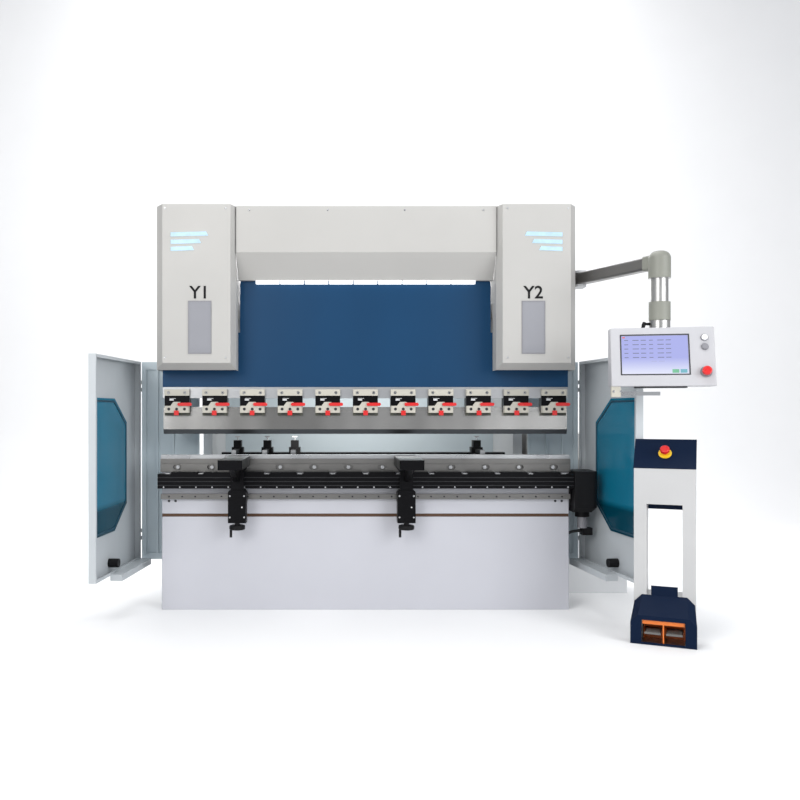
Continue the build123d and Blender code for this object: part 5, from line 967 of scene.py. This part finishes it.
class PRESSBRAKE_OT_letters(bpy.types.Operator):
    """Add the axis names on the cylinder covers"""

    bl_idname = "press_brake.letters"
    bl_label = "Axis names"

    def execute(self, context):
        for number, (text, middle) in enumerate((("Y1", -0.990), ("Y2", 0.988)), start=1):
            letters = bpy.data.curves.new(f"axis_name_{number}", "FONT")
            letters.body = text
            letters.size = 0.105
            letters.extrude = 0.0006
            letters.offset = 0.0016
            letters.align_x = "CENTER"
            thing = bpy.data.objects.new(f"axis_name_{number}", letters)
            thing.location = (middle, -0.2208, 1.886)
            thing.rotation_euler = (radians(90), 0, 0)
            context.scene.collection.objects.link(thing)
            letters.materials.append(finish_named("black"))
            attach(thing, "machine")
        return {"FINISHED"}


class PRESSBRAKE_OT_cover_details(bpy.types.Operator):
    """Add window frames, cover screws and the bed's threaded hole pairs"""

    bl_idname = "press_brake.cover_details"
    bl_label = "Cover details"

    def execute(self, context):
        def build(bm):
            for side in (-1, 1):
                left, right = side * 0.988 - 0.062, side * 0.988 + 0.062
                low, high = 1.564, 1.864
                edge = 0.007
                for low_x, high_x, low_z, high_z in (
                    (left - edge, right + edge, high, high + edge),
                    (left - edge, right + edge, low - edge, low),
                    (left - edge, left, low, high),
                    (right, right + edge, low, high),
                ):
                    box_in(bm, (low_x, -0.2240, low_z), (high_x, -0.2200, high_z), 0)
                for x in (side * 0.835, side * 1.195):
                    for z in (1.535, 2.42):
                        rings = ((0, 0.006), (0.0012, 0.006), (0.0022, 0.0045))
                        stud_in(bm, (x, -0.2200, z), (0, -1, 0), rings, 20, 1)
            for x in (-0.70, -0.23, 0.23, 0.70):
                rings = ((0, 0.006), (0.0012, 0.006), (0.0022, 0.0045))
                stud_in(bm, (x, -0.1700, 2.42), (0, -1, 0), rings, 20, 1)
            # The bed's threaded holes are dark discs: painted shade in the holes.
            for x in (-1.205, -1.165, 1.165, 1.205):
                stud_in(bm, (x, -0.0350, 0.6665), (0, -1, 0), ((0, 0.008), (0.0006, 0.008)), 20, 2)

        piece("cover_trim", "machine", ("grey", "steel", "dark"), build)
        return {"FINISHED"}


class PRESSBRAKE_OT_rear(bpy.types.Operator):
    """Add the motor's ribs, the tank's lid and the rear guard's screws"""

    bl_idname = "press_brake.rear"
    bl_label = "Rear details"

    def execute(self, context):
        def motor(bm):
            for number in range(22):
                angle = 2 * pi * number / 22
                out = Vector((0, cos(angle), sin(angle)))
                across = Vector((0, -sin(angle), cos(angle)))
                middle = Vector((0, 0.670, 2.285))
                if out.z < -0.7:
                    continue
                facing = Matrix((Vector((1, 0, 0)), out, across)).transposed().to_4x4()
                turn = Matrix.Translation(middle) @ facing
                box_in(bm, (-0.120, 0.094, -0.0015), (0.105, 0.104, 0.0015), 0, turn)
            cowl = ((0, 0.070), (0.012, 0.096), (0.060, 0.097))
            stud_in(bm, (-0.196, 0.670, 2.285), (1, 0, 0), cowl, 40, 1)

        piece("motor_ribs", "machine", ("blue", "black"), motor, 0.0005)

        def tank(bm):
            box_in(bm, (-0.400, 0.450, 2.180), (-0.215, 0.620, 2.188), 0)
            filler = ((0, 0.036), (0.030, 0.036), (0.044, 0.028))
            strainer = ((0, 0.045), (0.110, 0.045), (0.122, 0.036))
            stud_in(bm, (-0.310, 0.770, 2.180), (0, 0, 1), filler, 32, 1)
            stud_in(bm, (0.360, 0.760, 2.180), (0, 0, 1), strainer, 32, 2)
            for x in (-0.388, -0.227):
                for y in (0.462, 0.608):
                    stud_in(bm, (x, y, 2.188), (0, 0, 1), ((0, 0.006), (0.005, 0.006)), 6, 1)

        piece("tank_fittings", "machine", ("frame", "black", "steel"), tank, 0.001)

        def guard(bm):
            for x in (-1.03, -0.36, 0.33, 1.03):
                for z in (0.18, 0.80, 1.44):
                    rings = ((0, 0.008), (0.002, 0.008), (0.0035, 0.006))
                    stud_in(bm, (x, 1.1640, z), (0, 1, 0), rings, 20, 0)
            # Dark strips for the guard's vent slots: painted shade in the openings.
            for x in (-0.70, 0.0, 0.70):
                for number in range(9):
                    level = 1.20 + number * 0.022
                    box_in(bm, (x - 0.12, 1.1520, level), (x + 0.12, 1.1540, level + 0.008), 1)

        piece("rear_guard_fittings", "machine", ("steel", "dark"), guard, 0.0006)
        return {"FINISHED"}


class PRESSBRAKE_OT_cabinet(bpy.types.Operator):
    """Add the cabinet's switch, knobs, handle and vents"""

    bl_idname = "press_brake.cabinet"
    bl_label = "Cabinet details"

    def execute(self, context):
        def build(bm):
            face_y = 0.430
            box_in(bm, (1.135, face_y - 0.003, 0.635), (1.750, face_y, 1.035), 0)
            # The dark line of the door seam is painted shade in the gap.
            box_in(bm, (1.430, face_y - 0.0045, 0.635), (1.436, face_y - 0.003, 1.035), 1)
            box_in(bm, (1.500, face_y - 0.012, 0.930), (1.560, face_y - 0.003, 0.990), 2)
            stud_in(bm, (1.530, face_y - 0.012, 0.960), (0, -1, 0), ((0, 0.022), (0.016, 0.019)), 28, 3)
            for number in range(4):
                centre = (1.620 + number * 0.036, face_y - 0.003, 0.965)
                knob = ((0, 0.011), (0.006, 0.011), (0.009, 0.008))
                stud_in(bm, centre, (0, -1, 0), knob, 24, 1 + number % 3)
            box_in(bm, (1.448, face_y - 0.020, 0.700), (1.462, face_y - 0.010, 0.900), 1)
            for z in (0.702, 0.886):
                box_in(bm, (1.449, face_y - 0.012, z), (1.461, face_y - 0.003, z + 0.012), 1)
            # The dark vent slats are painted shade in the vent openings.
            for number in range(10):
                level = 0.680 + number * 0.016
                box_in(bm, (1.530, face_y - 0.0045, level), (1.700, face_y - 0.003, level + 0.006), 1)

        piece("cabinet_fittings", "machine", ("cover", "dark", "yellow", "red"), build, 0.0008)
        return {"FINISHED"}


class PRESSBRAKE_PT_panel(bpy.types.Panel):
    """Sidebar panel with the settings and the operators"""

    bl_idname = "PRESSBRAKE_PT_panel"
    bl_label = "Press Brake"
    bl_space_type = "VIEW_3D"
    bl_region_type = "UI"
    bl_category = "Press Brake"

    def draw(self, context):
        layout = self.layout
        for name in PressBrakeSettings.__annotations__:
            layout.prop(context.scene.press_brake, name)
        for operator in OPERATORS:
            layout.operator(operator.bl_idname)


OPERATORS = (
    PRESSBRAKE_OT_stage,
    PRESSBRAKE_OT_finishes,
    PRESSBRAKE_OT_lead,
    PRESSBRAKE_OT_frame,
    PRESSBRAKE_OT_ram,
    PRESSBRAKE_OT_clamp_marks,
    PRESSBRAKE_OT_front,
    PRESSBRAKE_OT_support_marks,
    PRESSBRAKE_OT_guards,
    PRESSBRAKE_OT_door_seals,
    PRESSBRAKE_OT_pendant,
    PRESSBRAKE_OT_display,
    PRESSBRAKE_OT_pedestal,
    PRESSBRAKE_OT_letters,
    PRESSBRAKE_OT_cover_details,
    PRESSBRAKE_OT_rear,
    PRESSBRAKE_OT_cabinet,
)
CLASSES = (PressBrakeSettings, *OPERATORS, PRESSBRAKE_PT_panel)


def register():
    """Adds the classes and the scene's settings."""
    for item in CLASSES:
        bpy.utils.register_class(item)
    bpy.types.Scene.press_brake = PointerProperty(type=PressBrakeSettings)


def unregister():
    """Removes the scene's settings and the classes."""
    del bpy.types.Scene.press_brake
    for item in reversed(CLASSES):
        bpy.utils.unregister_class(item)


def main():
    """Registers the add-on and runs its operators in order."""
    register()
    for operator in OPERATORS:
        group, name = operator.bl_idname.split(".")
        getattr(getattr(bpy.ops, group), name)()


if __name__ == "__main__":
    main()
